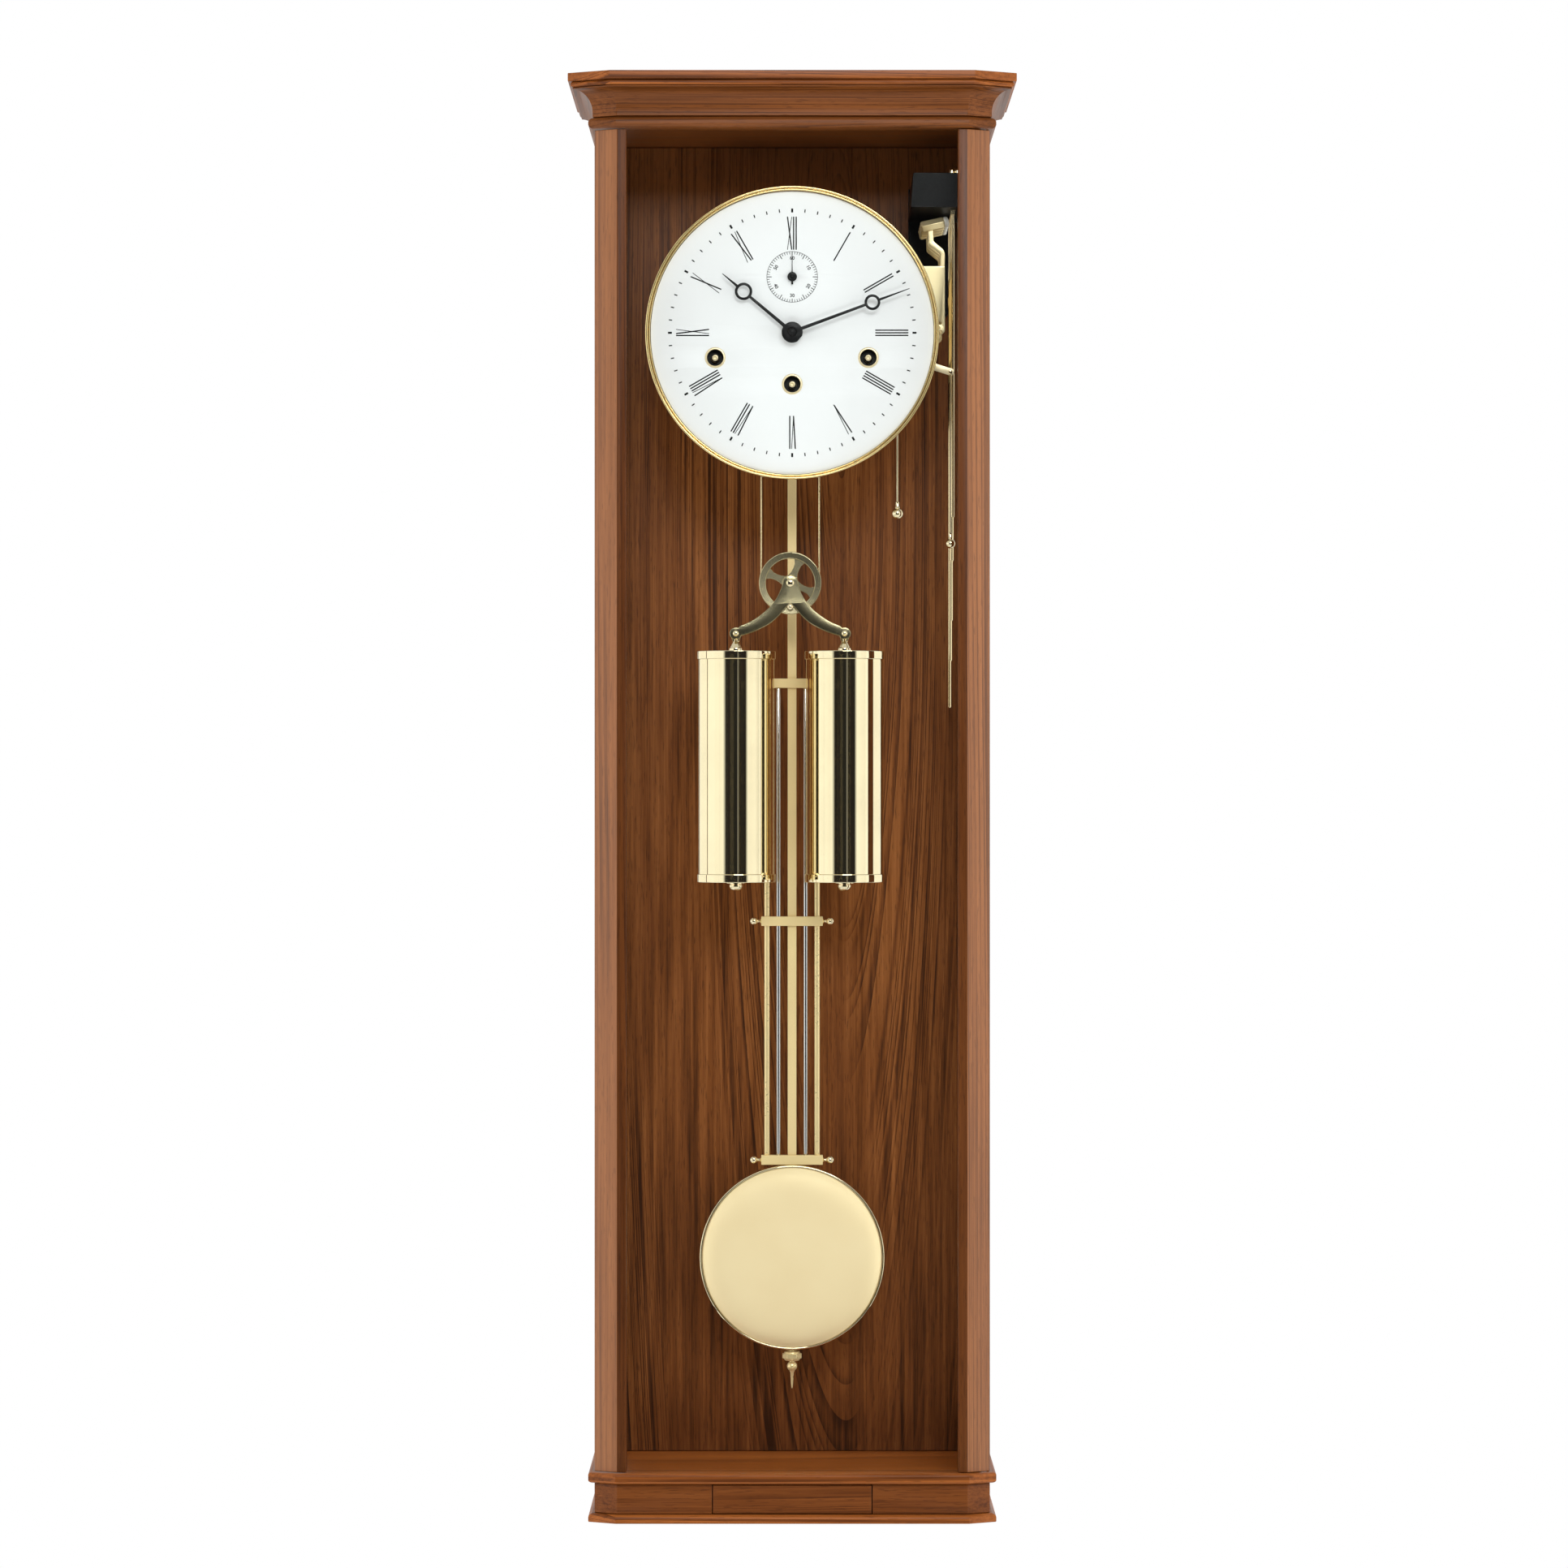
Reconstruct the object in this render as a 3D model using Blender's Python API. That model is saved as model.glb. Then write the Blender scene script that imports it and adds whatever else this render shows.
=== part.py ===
"""Wall-hung regulator clock: walnut case, weight-driven movement, gridiron pendulum.

Sizes below are in millimetres and heights are above the foot of the clock. solid() turns both
into metres, with the origin on the rear face of the steel hanging plate. X is to the viewer's
right, Y points at the wall and Z is up; the wall is the plane y = 0.
"""

import math

import bmesh
import bpy
from mathutils import Vector

MM = 0.001
HANG_HEIGHT = 950.0  # height of the origin above the foot
GAP = 0.3  # clearance between pieces that touch

# Case, in plan: a rectangle whose front corners are cut off at a slant.
CASE_HALF = 141.7
CASE_DEPTH = 175.0
CANT_WIDTH = 16.4
CANT_DEPTH = 9.0
SIDE_THICKNESS = 14.0
SIDE_FRONT = -154.0
PANEL_FRONT = -18.0
PANEL_REAR = -8.0

# Case, in height.
FOOT_TOP = 6.2
PLINTH_TOP = 27.9
BASE_TOP = 35.7
FLOOR_TOP = 31.8
DOOR_BOTTOM = 36.2
DOOR_TOP = 997.1
HEAD_BOTTOM = 997.8
HEAD_TOP = 1006.0
CEILING = 1002.7
COVE_TOP = 1026.6
CASE_TOP = 1036.8

# Door.
STILE_INNER = 118.7
STILE_REAR = -156.5
GLASS_FRONT = -167.2
GLASS_REAR = -164.8
HINGE_X = 137.5
HINGE_Y = -160.5

# Drawer.
DRAWER_HALF = 56.8
DRAWER_REAR = -66.0
CAVITY_HALF = 57.4

# Dial and hands.
DIAL_HEIGHT = 853.8
DIAL_RADIUS = 102.0
BEZEL_RADIUS = 106.0
DIAL_FRONT = -145.0
DIAL_REAR = -143.0
SECONDS_UP = 40.3
KEYHOLES = ((-55.5, -17.9), (54.9, -17.9), (0.0, -37.0))
KEYHOLE_RADIUS = 5.6
MINUTE_ANGLE = 69.7
HOUR_ANGLE = 310.0

# Movement: plates, and each arbor's place from the dial centre.
PLATE_HALF = 76.0
PLATE_LOW = -54.8
PLATE_HIGH = 66.0
FRONT_PLATE = (-134.5, -131.5)
BACK_PLATE = (-91.5, -88.5)
DRUM_AT = (0.0, -37.0)
THIRD_AT = (-13.93, 21.0)
ESCAPE_AT = (0.0, SECONDS_UP)
VERGE_AT = (0.0, 57.2)
MINUTE_WHEEL_AT = (16.3, 7.64)
GREAT_MODULE = 1.1212
TRAIN_MODULE = 0.9333
CANNON_MODULE = 0.75
HOUR_MODULE = 0.72
DRUM_RADIUS = 21.5
DRUM_FLANGE = 1.2
BARREL_RADIUS = 19.0

# Weights, pulley and cable.
WEIGHTS_X = -1.4
WEIGHTS_Y = -111.0
PULLEY_HEIGHT = 674.7
PULLEY_RADIUS = 22.8
CABLE_BEND = 21.05
CABLE_RADIUS = 0.6
CABLE_TOP = 799.4
POST_RADIUS = 1.4
YOKE_REACH = 39.5
EYE_HEIGHT = 637.9
WEIGHT_LOW = 457.2
WEIGHT_HIGH = 625.1

# Pendulum.
PENDULUM_Y = -65.0
FLEX_HEIGHT = 911.0
CROSSBARS = (602.7, 427.7, 252.1)
BAR_HALF = 3.2
STEEL_X = 10.0
BRASS_X = 18.4
BOB_HEIGHT = 180.7
BOB_RADIUS = 68.0
BOB_DEPTH = 24.0

# Gong and hammers.
GONG_X = 116.5
GONG_ROWS = (-118.0, -100.0, -82.0, -64.0, -46.0)
GONG_ENDS = (722.0, 691.0, 648.0, 619.0, 585.0)
GONG_LOW = 946.0
GONG_HIGH = 971.0
FLANGE_FRONT = PANEL_FRONT - GAP - 8.0
HAMMER_PIVOT = (106.0, 859.0)
LEVER_PIVOT = (96.0, 837.1)
LEVER_Y = -124.0
SILENCE_X = 114.6
STRIKE_X = 76.3

# Materials: base colour, metallic, roughness.
FINISHES = {
    "walnut": ((0.20, 0.085, 0.045), 0.0, 0.42),
    "clear_glass": ((0.92, 0.95, 0.95), 0.0, 0.03),
    "polished_brass": ((0.83, 0.62, 0.28), 1.0, 0.14),
    "satin_brass": ((0.78, 0.63, 0.38), 1.0, 0.35),
    "steel": ((0.62, 0.62, 0.63), 1.0, 0.25),
    "dial_white": ((0.90, 0.91, 0.93), 0.0, 0.45),
    "black_satin": ((0.02, 0.02, 0.02), 0.1, 0.4),
    "cast_iron": ((0.03, 0.03, 0.03), 0.4, 0.55),
}


def finish_of(name):
    """The Principled material of a finish, made once."""
    found = bpy.data.materials.get(name)
    if found:
        return found
    colour, metallic, roughness = FINISHES[name]
    material = bpy.data.materials.new(name)
    material.use_nodes = True
    shader = material.node_tree.nodes["Principled BSDF"]
    shader.inputs["Base Color"].default_value = (*colour, 1.0)
    shader.inputs["Metallic"].default_value = metallic
    shader.inputs["Roughness"].default_value = roughness
    return material


def prism(outline, axis, low, high):
    """A closed outline carried along an axis. The outline's two numbers are the other two axes."""
    shape = bmesh.new()
    place = {
        "X": lambda a, b, t: (t, a, b),
        "Y": lambda a, b, t: (a, t, b),
        "Z": lambda a, b, t: (a, b, t),
    }[axis]
    rings = []
    for t in (low, high):
        rings.append([shape.verts.new(place(a, b, t)) for a, b in outline])
    shape.faces.new(rings[0])
    shape.faces.new(rings[1])
    count = len(outline)
    for i in range(count):
        j = (i + 1) % count
        shape.faces.new((rings[0][i], rings[0][j], rings[1][j], rings[1][i]))
    bmesh.ops.recalc_face_normals(shape, faces=shape.faces)
    return shape


def box(low, high):
    """A block between two corners."""
    (x0, y0, z0), (x1, y1, z1) = low, high
    return prism([(x0, y0), (x1, y0), (x1, y1), (x0, y1)], "Z", z0, z1)


def turned(profile, axis, centre, segments=16, ring=False):
    """A profile of (radius, place along the axis) turned about an axis through centre."""
    shape = bmesh.new()
    place = {
        "X": lambda u, v, t: (t, centre[0] + u, centre[1] + v),
        "Y": lambda u, v, t: (centre[0] + u, t, centre[1] + v),
        "Z": lambda u, v, t: (centre[0] + u, centre[1] + v, t),
    }[axis]
    loops = []
    for radius, t in profile:
        if radius == 0.0:
            loops.append([shape.verts.new(place(0.0, 0.0, t))])
            continue
        angles = [2 * math.pi * (k + 0.5) / segments for k in range(segments)]
        loops.append([shape.verts.new(place(radius * math.cos(a), radius * math.sin(a), t)) for a in angles])
    pairs = list(zip(loops, loops[1:]))
    if ring:
        pairs.append((loops[-1], loops[0]))
    for first, second in pairs:
        for k in range(segments):
            n = (k + 1) % segments
            if len(first) == 1:
                shape.faces.new((first[0], second[n], second[k]))
            elif len(second) == 1:
                shape.faces.new((first[k], first[n], second[0]))
            else:
                shape.faces.new((first[k], first[n], second[n], second[k]))
    if not ring:
        for loop in (loops[0], loops[-1]):
            if len(loop) > 1:
                shape.faces.new(loop)
    bmesh.ops.recalc_face_normals(shape, faces=shape.faces)
    return shape


def rod(axis, centre, low, high, radius, segments=12):
    """A plain round bar."""
    return turned([(radius, low), (radius, high)], axis, centre, segments)


def ball(centre, radius, segments=10):
    """A turned ball, its poles along X."""
    steps = segments // 2
    profile = []
    for k in range(steps + 1):
        a = math.pi * k / steps
        r = 0.0 if k in (0, steps) else radius * math.sin(a)
        profile.append((r, centre[0] - radius * math.cos(a)))
    return turned(profile, "X", (centre[1], centre[2]), segments)


def arc(centre, radius, start, end, count):
    """Points on an arc, by angle in degrees."""
    points = []
    for k in range(count + 1):
        a = math.radians(start + (end - start) * k / count)
        points.append((centre[0] + radius * math.cos(a), centre[1] + radius * math.sin(a)))
    return points


def placed(shape, name, pivot):
    """A mesh object in metres whose origin is the pivot."""
    centre = Vector((pivot[0], pivot[1], pivot[2])) * MM
    for vert in shape.verts:
        vert.co = vert.co * MM - centre
    mesh = bpy.data.meshes.new(name)
    shape.to_mesh(mesh)
    shape.free()
    thing = bpy.data.objects.new(name, mesh)
    thing.location = centre - Vector((0.0, 0.0, HANG_HEIGHT * MM))
    bpy.context.scene.collection.objects.link(thing)
    return thing


def solid(name, finish, shapes, cuts=(), pivot=(0.0, 0.0, HANG_HEIGHT)):
    """One closed body: the shapes joined, then the cuts taken away."""
    thing = placed(shapes[0], name, pivot)
    thing.data.materials.append(finish_of(finish))
    tools = [(shape, "UNION") for shape in shapes[1:]] + [(cut, "DIFFERENCE") for cut in cuts]
    for number, (shape, action) in enumerate(tools):
        tool = placed(shape, f"{name}_tool_{number}", pivot)
        tool.hide_render = True
        tool.display_type = "WIRE"
        modifier = thing.modifiers.new(f"step_{number}", "BOOLEAN")
        modifier.operation = action
        modifier.solver = "EXACT"
        modifier.object = tool
    thing.data.shade_smooth()
    thing.data.set_sharp_from_angle(angle=math.radians(35))
    return thing


def plan(overhang=0.0):
    """The case's outline seen from above, grown by an overhang at the sides and the front."""
    turn = math.atan2(CANT_DEPTH, CANT_WIDTH)
    side_y = -(CASE_DEPTH - CANT_DEPTH) - overhang * math.tan((math.pi / 2 - turn) / 2)
    front_x = CASE_HALF - CANT_WIDTH + overhang * math.tan(turn / 2)
    right = [(CASE_HALF + overhang, 0.0), (CASE_HALF + overhang, side_y), (front_x, -CASE_DEPTH - overhang)]
    return right + [(-x, y) for x, y in reversed(right)]


def moulding(profile):
    """A board whose edge follows a profile of (overhang, height), mitred at every corner."""
    shape = bmesh.new()
    rings = [[shape.verts.new((x, y, height)) for x, y in plan(over)] for over, height in profile]
    count = len(rings[0])
    for low, high in zip(rings, rings[1:]):
        for i in range(count):
            j = (i + 1) % count
            shape.faces.new((low[i], low[j], high[j], high[i]))
    shape.faces.new(rings[0])
    shape.faces.new(rings[-1])
    bmesh.ops.recalc_face_normals(shape, faces=shape.faces)
    return shape


def build_case_boards():
    """Foot, plinth, base board, head board and the two-piece cornice."""
    solid("foot_board", "walnut", [moulding([(3.5, 0.0), (4.5, 1.0), (4.5, 4.2), (2.5, FOOT_TOP)])])
    cavity = box((-CAVITY_HALF, -200.0, 0.0), (CAVITY_HALF, DRAWER_REAR + 4.0, 40.0))
    solid("plinth", "walnut", [moulding([(0.0, FOOT_TOP + GAP), (0.0, PLINTH_TOP - GAP)])], [cavity])
    inner = CASE_HALF - SIDE_THICKNESS + 0.2
    rear = PANEL_REAR + 0.5
    pin_hole = rod("Z", (HINGE_X, HINGE_Y), FLOOR_TOP - 3.3, 60.0, 2.3)
    floor_cut = box((-inner, -156.8, FLOOR_TOP), (inner, rear, 60.0))
    nose = [(2.0, PLINTH_TOP), (4.0, 29.0), (4.5, FLOOR_TOP), (4.0, 34.6), (2.0, BASE_TOP)]
    solid("base_board", "walnut", [moulding(nose)], [floor_cut, pin_hole])
    head_hole = rod("Z", (HINGE_X, HINGE_Y), 980.0, 1003.3, 2.3)
    head_cut = box((-inner, -156.8, 980.0), (inner, rear, CEILING))
    bead = [(2.5, HEAD_BOTTOM), (4.5, HEAD_BOTTOM + 2.0), (4.5, HEAD_TOP - 2.0), (2.5, HEAD_TOP)]
    solid("head_board", "walnut", [moulding(bead)], [head_cut, head_hole])
    cove = [(1.0, HEAD_TOP + GAP), (1.0, HEAD_TOP + 3.7)]
    for over, height in arc((15.5, HEAD_TOP + 3.7), 1.0, 180.0, 90.0, 6)[1:]:
        cove.append((15.5 + (over - 15.5) * 14.5, HEAD_TOP + 3.7 + (height - HEAD_TOP - 3.7) * 16.9))
    solid("cornice_cove", "walnut", [moulding(cove)])
    cap = [(15.0, COVE_TOP + GAP), (17.0, 1027.7), (17.0, 1029.8), (16.0, 1030.6)]
    cap += [(18.8, 1030.9), (18.8, 1036.2), (18.2, CASE_TOP)]
    solid("cornice_cap", "walnut", [moulding(cap)])


def build_case_walls():
    """Back panel, glazed side frames and the hanging plate."""
    inner = CASE_HALF - SIDE_THICKNESS
    low = (-inner + GAP, PANEL_FRONT, FLOOR_TOP + GAP)
    high = (inner - GAP, PANEL_REAR, CEILING - GAP)
    solid("back_panel", "walnut", [box(low, high)])
    for side, sign in (("left", -1), ("right", 1)):
        xs = sorted((sign * inner, sign * CASE_HALF))
        frame = box((xs[0], SIDE_FRONT, BASE_TOP + GAP), (xs[1], 0.0, HEAD_BOTTOM - GAP))
        window = box((xs[0] - 5.0, -126.0, 80.0), (xs[1] + 5.0, -30.0, 955.0))
        solid(f"side_frame_{side}", "walnut", [frame], [window])
        pane = sorted((sign * (inner + 5.8), sign * (inner + 8.2)))
        glass = box((pane[0], -126.0 + GAP, 80.0 + GAP), (pane[1], -30.0 - GAP, 955.0 - GAP))
        solid(f"side_glass_{side}", "clear_glass", [glass])
    hat = [(-30.0, PANEL_REAR + GAP), (-16.0, PANEL_REAR + GAP), (-14.0, -1.5), (14.0, -1.5)]
    hat += [(16.0, PANEL_REAR + GAP), (30.0, PANEL_REAR + GAP), (30.0, -6.2), (17.5, -6.2)]
    hat += [(15.2, 0.0), (-15.2, 0.0), (-17.5, -6.2), (-30.0, -6.2)]
    entry = rod("Y", (0.0, 928.0), -5.0, 5.0, 5.0, 16)
    slot = box((-2.5, -5.0, 928.0), (2.5, 5.0, 943.0))
    solid("hanging_plate", "steel", [prism(hat, "Z", 912.0, 962.0)], [entry, slot])


def build_door():
    """Two slanted stiles, one pane between them and the two hinge pins."""
    pivot = (HINGE_X, HINGE_Y, HANG_HEIGHT)
    depth = STILE_INNER + 4.6
    outer = plan()[1:3]
    right = [(STILE_INNER, STILE_REAR), (CASE_HALF, STILE_REAR), *outer, (STILE_INNER, -CASE_DEPTH)]
    right += [(STILE_INNER, GLASS_FRONT - GAP), (depth, GLASS_FRONT - GAP)]
    right += [(depth, GLASS_REAR + GAP), (STILE_INNER, GLASS_REAR + GAP)]
    left = [(-x, y) for x, y in right]
    holes = [rod("Z", (HINGE_X, HINGE_Y), 20.0, 48.5, 2.3)]
    holes.append(rod("Z", (HINGE_X, HINGE_Y), 984.5, 1010.0, 2.3))
    solid("door_stile_left", "walnut", [prism(left, "Z", DOOR_BOTTOM, DOOR_TOP)], pivot=pivot)
    solid("door_stile_right", "walnut", [prism(right, "Z", DOOR_BOTTOM, DOOR_TOP)], holes, pivot)
    edge = depth - GAP
    pane = box((-edge, GLASS_FRONT, DOOR_BOTTOM), (edge, GLASS_REAR, DOOR_TOP))
    solid("door_glass", "clear_glass", [pane], pivot=pivot)
    solid("hinge_pin_bottom", "steel", [rod("Z", (HINGE_X, HINGE_Y), FLOOR_TOP - 3.0, 48.0, 2.0)])
    solid("hinge_pin_top", "steel", [rod("Z", (HINGE_X, HINGE_Y), 985.0, 1003.0, 2.0)])


def build_drawer():
    """Flush drawer in the plinth, with the winding crank lying in it."""
    face = box((-DRAWER_HALF, -CASE_DEPTH, 6.7), (DRAWER_HALF, -167.0, 27.2))
    solid("drawer_front", "walnut", [face])
    tray = box((-DRAWER_HALF + 1.0, -167.0 + GAP, 7.0), (DRAWER_HALF - 1.0, DRAWER_REAR, 24.0))
    room = box((-DRAWER_HALF + 5.0, -162.7, 10.0), (DRAWER_HALF - 5.0, DRAWER_REAR - 4.0, 40.0))
    solid("drawer_tray", "walnut", [tray], [room])
    shaft = rod("Z", (-38.0, -84.0), 10.6, 13.6, 4.2)
    arm = box((-38.0, -87.0, 10.6), (4.0, -81.0, 12.6))
    grip = turned([(2.6, 11.6), (3.4, 14.0), (3.2, 20.0), (2.2, 22.6)], "Z", (2.0, -84.0), 12)
    socket = rod("Z", (-38.0, -84.0), 10.6, 21.0, 3.6)
    solid("winding_crank", "steel", [arm, shaft, grip, socket])


def dial_point(offset):
    """A place given from the dial's centre, as (x, height)."""
    return (offset[0], DIAL_HEIGHT + offset[1])


def hand_outline(length, ring_at, ring_out, hub, tail):
    """A spade-less hand: a round hub, a slim blade and a ring near the tip, pointing up."""
    blade = 1.5
    side = arc((0.0, 0.0), hub, -90.0, 78.0, 8)
    side.append((blade, ring_at - ring_out))
    side += arc((0.0, ring_at), ring_out, -70.0, 70.0, 6)
    side.append((1.0, ring_at + ring_out + 4.0))
    outline = side + [(0.0, length)] + [(-x, z) for x, z in reversed(side)]
    return outline[1:-1] + [(0.0, -hub - tail)]


def turned_about(points, angle, centre):
    """Points turned clockwise by an angle in degrees, then moved to centre."""
    a = math.radians(angle)
    moved = []
    for x, z in points:
        moved.append((centre[0] + x * math.cos(a) + z * math.sin(a), centre[1] - x * math.sin(a) + z * math.cos(a)))
    return moved


def build_dial():
    """Dial plate with its five holes, and the bezel round it."""
    centre = dial_point((0.0, 0.0))
    plate = rod("Y", centre, DIAL_FRONT, DIAL_REAR, DIAL_RADIUS, 56)
    holes = [rod("Y", dial_point(at), -160.0, -130.0, KEYHOLE_RADIUS, 16) for at in KEYHOLES]
    holes.append(rod("Y", centre, -160.0, -130.0, 5.2, 14))
    holes.append(rod("Y", dial_point((0.0, SECONDS_UP)), -160.0, -130.0, 1.8, 10))
    solid("dial_plate", "dial_white", [plate], holes)
    ring = [(DIAL_RADIUS + 0.4, -142.6), (DIAL_RADIUS + 0.4, -147.0), (103.6, -149.6), (104.8, -149.9)]
    ring += [(BEZEL_RADIUS, -148.2), (BEZEL_RADIUS, -142.6)]
    solid("dial_bezel", "polished_brass", [turned(ring, "Y", centre, 56, ring=True)])


def gear(at, teeth, module, low, high, toward, tooth=True):
    """A toothed wheel. A tooth, or a gap between two, faces the angle toward."""
    centre = dial_point(at)
    pitch = teeth * module / 2
    small = teeth <= 12
    tip = pitch + (0.55 if small else 0.85) * module
    root = pitch - (1.35 if small else 1.0) * module
    wide = (0.45 if small else 0.62) * module
    thin = (0.30 if small else 0.26) * module
    outline = []
    for k in range(teeth):
        a = math.radians(toward) + 2 * math.pi * (k + (0.0 if tooth else 0.5)) / teeth
        for radius, half in ((root, -wide), (tip, -thin), (tip, thin), (root, wide)):
            b = a + half / radius
            outline.append((centre[0] + radius * math.cos(b), centre[1] + radius * math.sin(b)))
    return prism(outline, "Y", low, high)


def bearing(start, end):
    """The direction from one arbor to another, in degrees from +X."""
    return math.degrees(math.atan2(end[1] - start[1], end[0] - start[0]))


def arbor(at, steps, segments=12):
    """A turned steel shaft along Y, as (radius, y) steps."""
    return turned(steps, "Y", dial_point(at), segments)


def plate_block(low_y, high_y):
    """One movement plate, its corners cut."""
    w, lo, hi, c = PLATE_HALF, DIAL_HEIGHT + PLATE_LOW, DIAL_HEIGHT + PLATE_HIGH, 8.0
    outline = [(-w + c, lo), (w - c, lo), (w, lo + c), (w, hi - c), (w - c, hi), (-w + c, hi)]
    outline += [(-w, hi - c), (-w, lo + c)]
    return prism(outline, "Y", low_y, high_y)


def build_plates():
    """Front plate with the post that ends the cable, and back plate with its four riveted pillars."""
    through = [((0.0, 0.0), 3.0), (DRUM_AT, 3.3), (ESCAPE_AT, 1.8), (THIRD_AT, 1.4), (VERGE_AT, 1.8)]
    through += [(KEYHOLES[0], 3.3), (KEYHOLES[1], 3.3), (MINUTE_WHEEL_AT, 1.6)]
    cuts = [rod("Y", dial_point(at), -140.0, -120.0, r, 10) for at, r in through]
    post_at = (WEIGHTS_X + CABLE_BEND, CABLE_TOP + GAP + POST_RADIUS)
    post = rod("Y", post_at, FRONT_PLATE[1] - 1.0, -109.0, POST_RADIUS, 10)
    solid("front_plate", "polished_brass", [plate_block(*FRONT_PLATE), post], cuts)
    pivots = [((0.0, 0.0), 1.4), (DRUM_AT, 1.4), (ESCAPE_AT, 1.4), (THIRD_AT, 1.4), (VERGE_AT, 1.8)]
    pivots += [(KEYHOLES[0], 1.4), (KEYHOLES[1], 1.4)]
    cuts = [rod("Y", dial_point(at), -95.0, -85.0, r, 10) for at, r in pivots]
    pillars = []
    for x in (-66.0, 66.0):
        for up in (PLATE_LOW + 8.0, PLATE_HIGH - 8.0):
            pillars.append(rod("Y", dial_point((x, up)), FRONT_PLATE[1] + GAP, BACK_PLATE[0] + 1.0, 4.0, 10))
    solid("back_plate", "polished_brass", [plate_block(*BACK_PLATE), *pillars], cuts)


def build_seat():
    """Cast bracket that carries the movement off the back panel, with the pendulum's cock."""
    rear = PANEL_FRONT - GAP
    wall = box((-74.0, rear - 4.0, 802.0), (74.0, rear, 938.0))
    arms = []
    for x in (-74.0, 69.0):
        arms.append(box((x, BACK_PLATE[1] + GAP, 806.0), (x + 5.0, rear - 2.0, 906.0)))
    cock = box((-9.0, PENDULUM_Y - 7.0, 924.0), (9.0, rear - 2.0, 932.0))
    slot = box((-5.2, PENDULUM_Y - 1.4, 920.0), (5.2, PENDULUM_Y + 1.4, 929.0))
    solid("movement_seat", "cast_iron", [wall, *arms, cock], [slot])


def build_train():
    """Going train from the great wheel to the escape wheel."""
    centre = (0.0, 0.0)
    pivot = (0.0, 0.0, DIAL_HEIGHT)
    down = bearing(centre, DRUM_AT)
    to_third = bearing(centre, THIRD_AT)
    to_minute = bearing(centre, MINUTE_WHEEL_AT)
    third_to_escape = bearing(THIRD_AT, ESCAPE_AT)
    shaft = arbor(centre, [(1.1, -86.5), (1.1, -91.8), (2.0, -91.8), (2.0, -151.0), (1.5, -151.0), (1.5, -155.0)])
    wheel = gear(centre, 48, TRAIN_MODULE, -98.0, -96.4, to_third)
    pinion = gear(centre, 6, GREAT_MODULE, -105.5, -100.5, down, tooth=False)
    cannon = gear(centre, 12, CANNON_MODULE, -138.4, -135.2, to_minute, tooth=False)
    solid("centre_wheel", "polished_brass", [wheel, shaft, pinion, cannon], pivot=pivot)

    here = dial_point(THIRD_AT)
    shaft = arbor(THIRD_AT, [(1.0, -86.5), (1.0, -91.8), (1.6, -91.8), (1.6, -131.2), (1.0, -131.2), (1.0, -134.0)])
    wheel = gear(THIRD_AT, 45, TRAIN_MODULE, -110.0, -108.4, third_to_escape)
    pinion = gear(THIRD_AT, 6, TRAIN_MODULE, -99.6, -94.8, to_third + 180.0, tooth=False)
    solid("third_wheel", "polished_brass", [wheel, shaft, pinion], pivot=(here[0], 0.0, here[1]))

    here = dial_point(ESCAPE_AT)
    shaft = arbor(ESCAPE_AT, [(1.0, -86.5), (1.0, -91.8), (1.3, -91.8), (1.3, -147.6)], 10)
    pinion = gear(ESCAPE_AT, 6, TRAIN_MODULE, -111.6, -106.8, third_to_escape + 180.0, tooth=False)
    solid("escape_wheel", "polished_brass", [escape_disc(here), shaft, pinion], pivot=(here[0], 0.0, here[1]))

    here = dial_point(DRUM_AT)
    wheel = gear(DRUM_AT, 60, GREAT_MODULE, -104.2, -101.8, down + 180.0)
    bore = rod("Y", here, -110.0, -95.0, 3.4)
    solid("great_wheel", "polished_brass", [wheel], [bore], pivot=(here[0], 0.0, here[1]))


def escape_disc(centre):
    """The escape wheel: a ring of fine pointed teeth, one for each second beat."""
    outline = []
    teeth = 35
    for k in range(teeth):
        a = 2 * math.pi * k / teeth
        outline.append((centre[0] + 9.6 * math.cos(a), centre[1] + 9.6 * math.sin(a)))
        b = a + math.pi / teeth
        outline.append((centre[0] + 11.8 * math.cos(b), centre[1] + 11.8 * math.sin(b)))
    return prism(outline, "Y", -95.0, -93.8)


def build_drum_and_barrels():
    """Cable drum of the going train, and the spring barrels that strike and chime."""
    here = dial_point(DRUM_AT)
    r = DRUM_RADIUS
    rim = DRUM_RADIUS + DRUM_FLANGE
    steps = [(1.1, -86.5), (1.1, -91.8), (2.8, -91.8), (2.8, -104.8), (rim, -104.8), (rim, -106.4)]
    steps += [(r, -106.4), (r, -128.0), (rim, -128.0), (rim, -129.6), (2.8, -129.6), (2.8, -142.2)]
    solid("cable_drum", "polished_brass", [arbor(DRUM_AT, steps, 20)], pivot=(here[0], 0.0, here[1]))
    for name, at in (("chime_barrel", KEYHOLES[0]), ("strike_barrel", KEYHOLES[1])):
        here = dial_point(at)
        r = BARREL_RADIUS
        steps = [(1.1, -86.5), (1.1, -91.8), (2.8, -91.8), (2.8, -95.0), (r, -95.0), (r + 1.2, -96.0)]
        steps += [(r + 1.2, -98.4), (r, -98.4), (r, -129.0), (2.8, -129.0), (2.8, -142.2)]
        solid(name, "polished_brass", [arbor(at, steps, 20)], pivot=(here[0], 0.0, here[1]))


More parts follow.
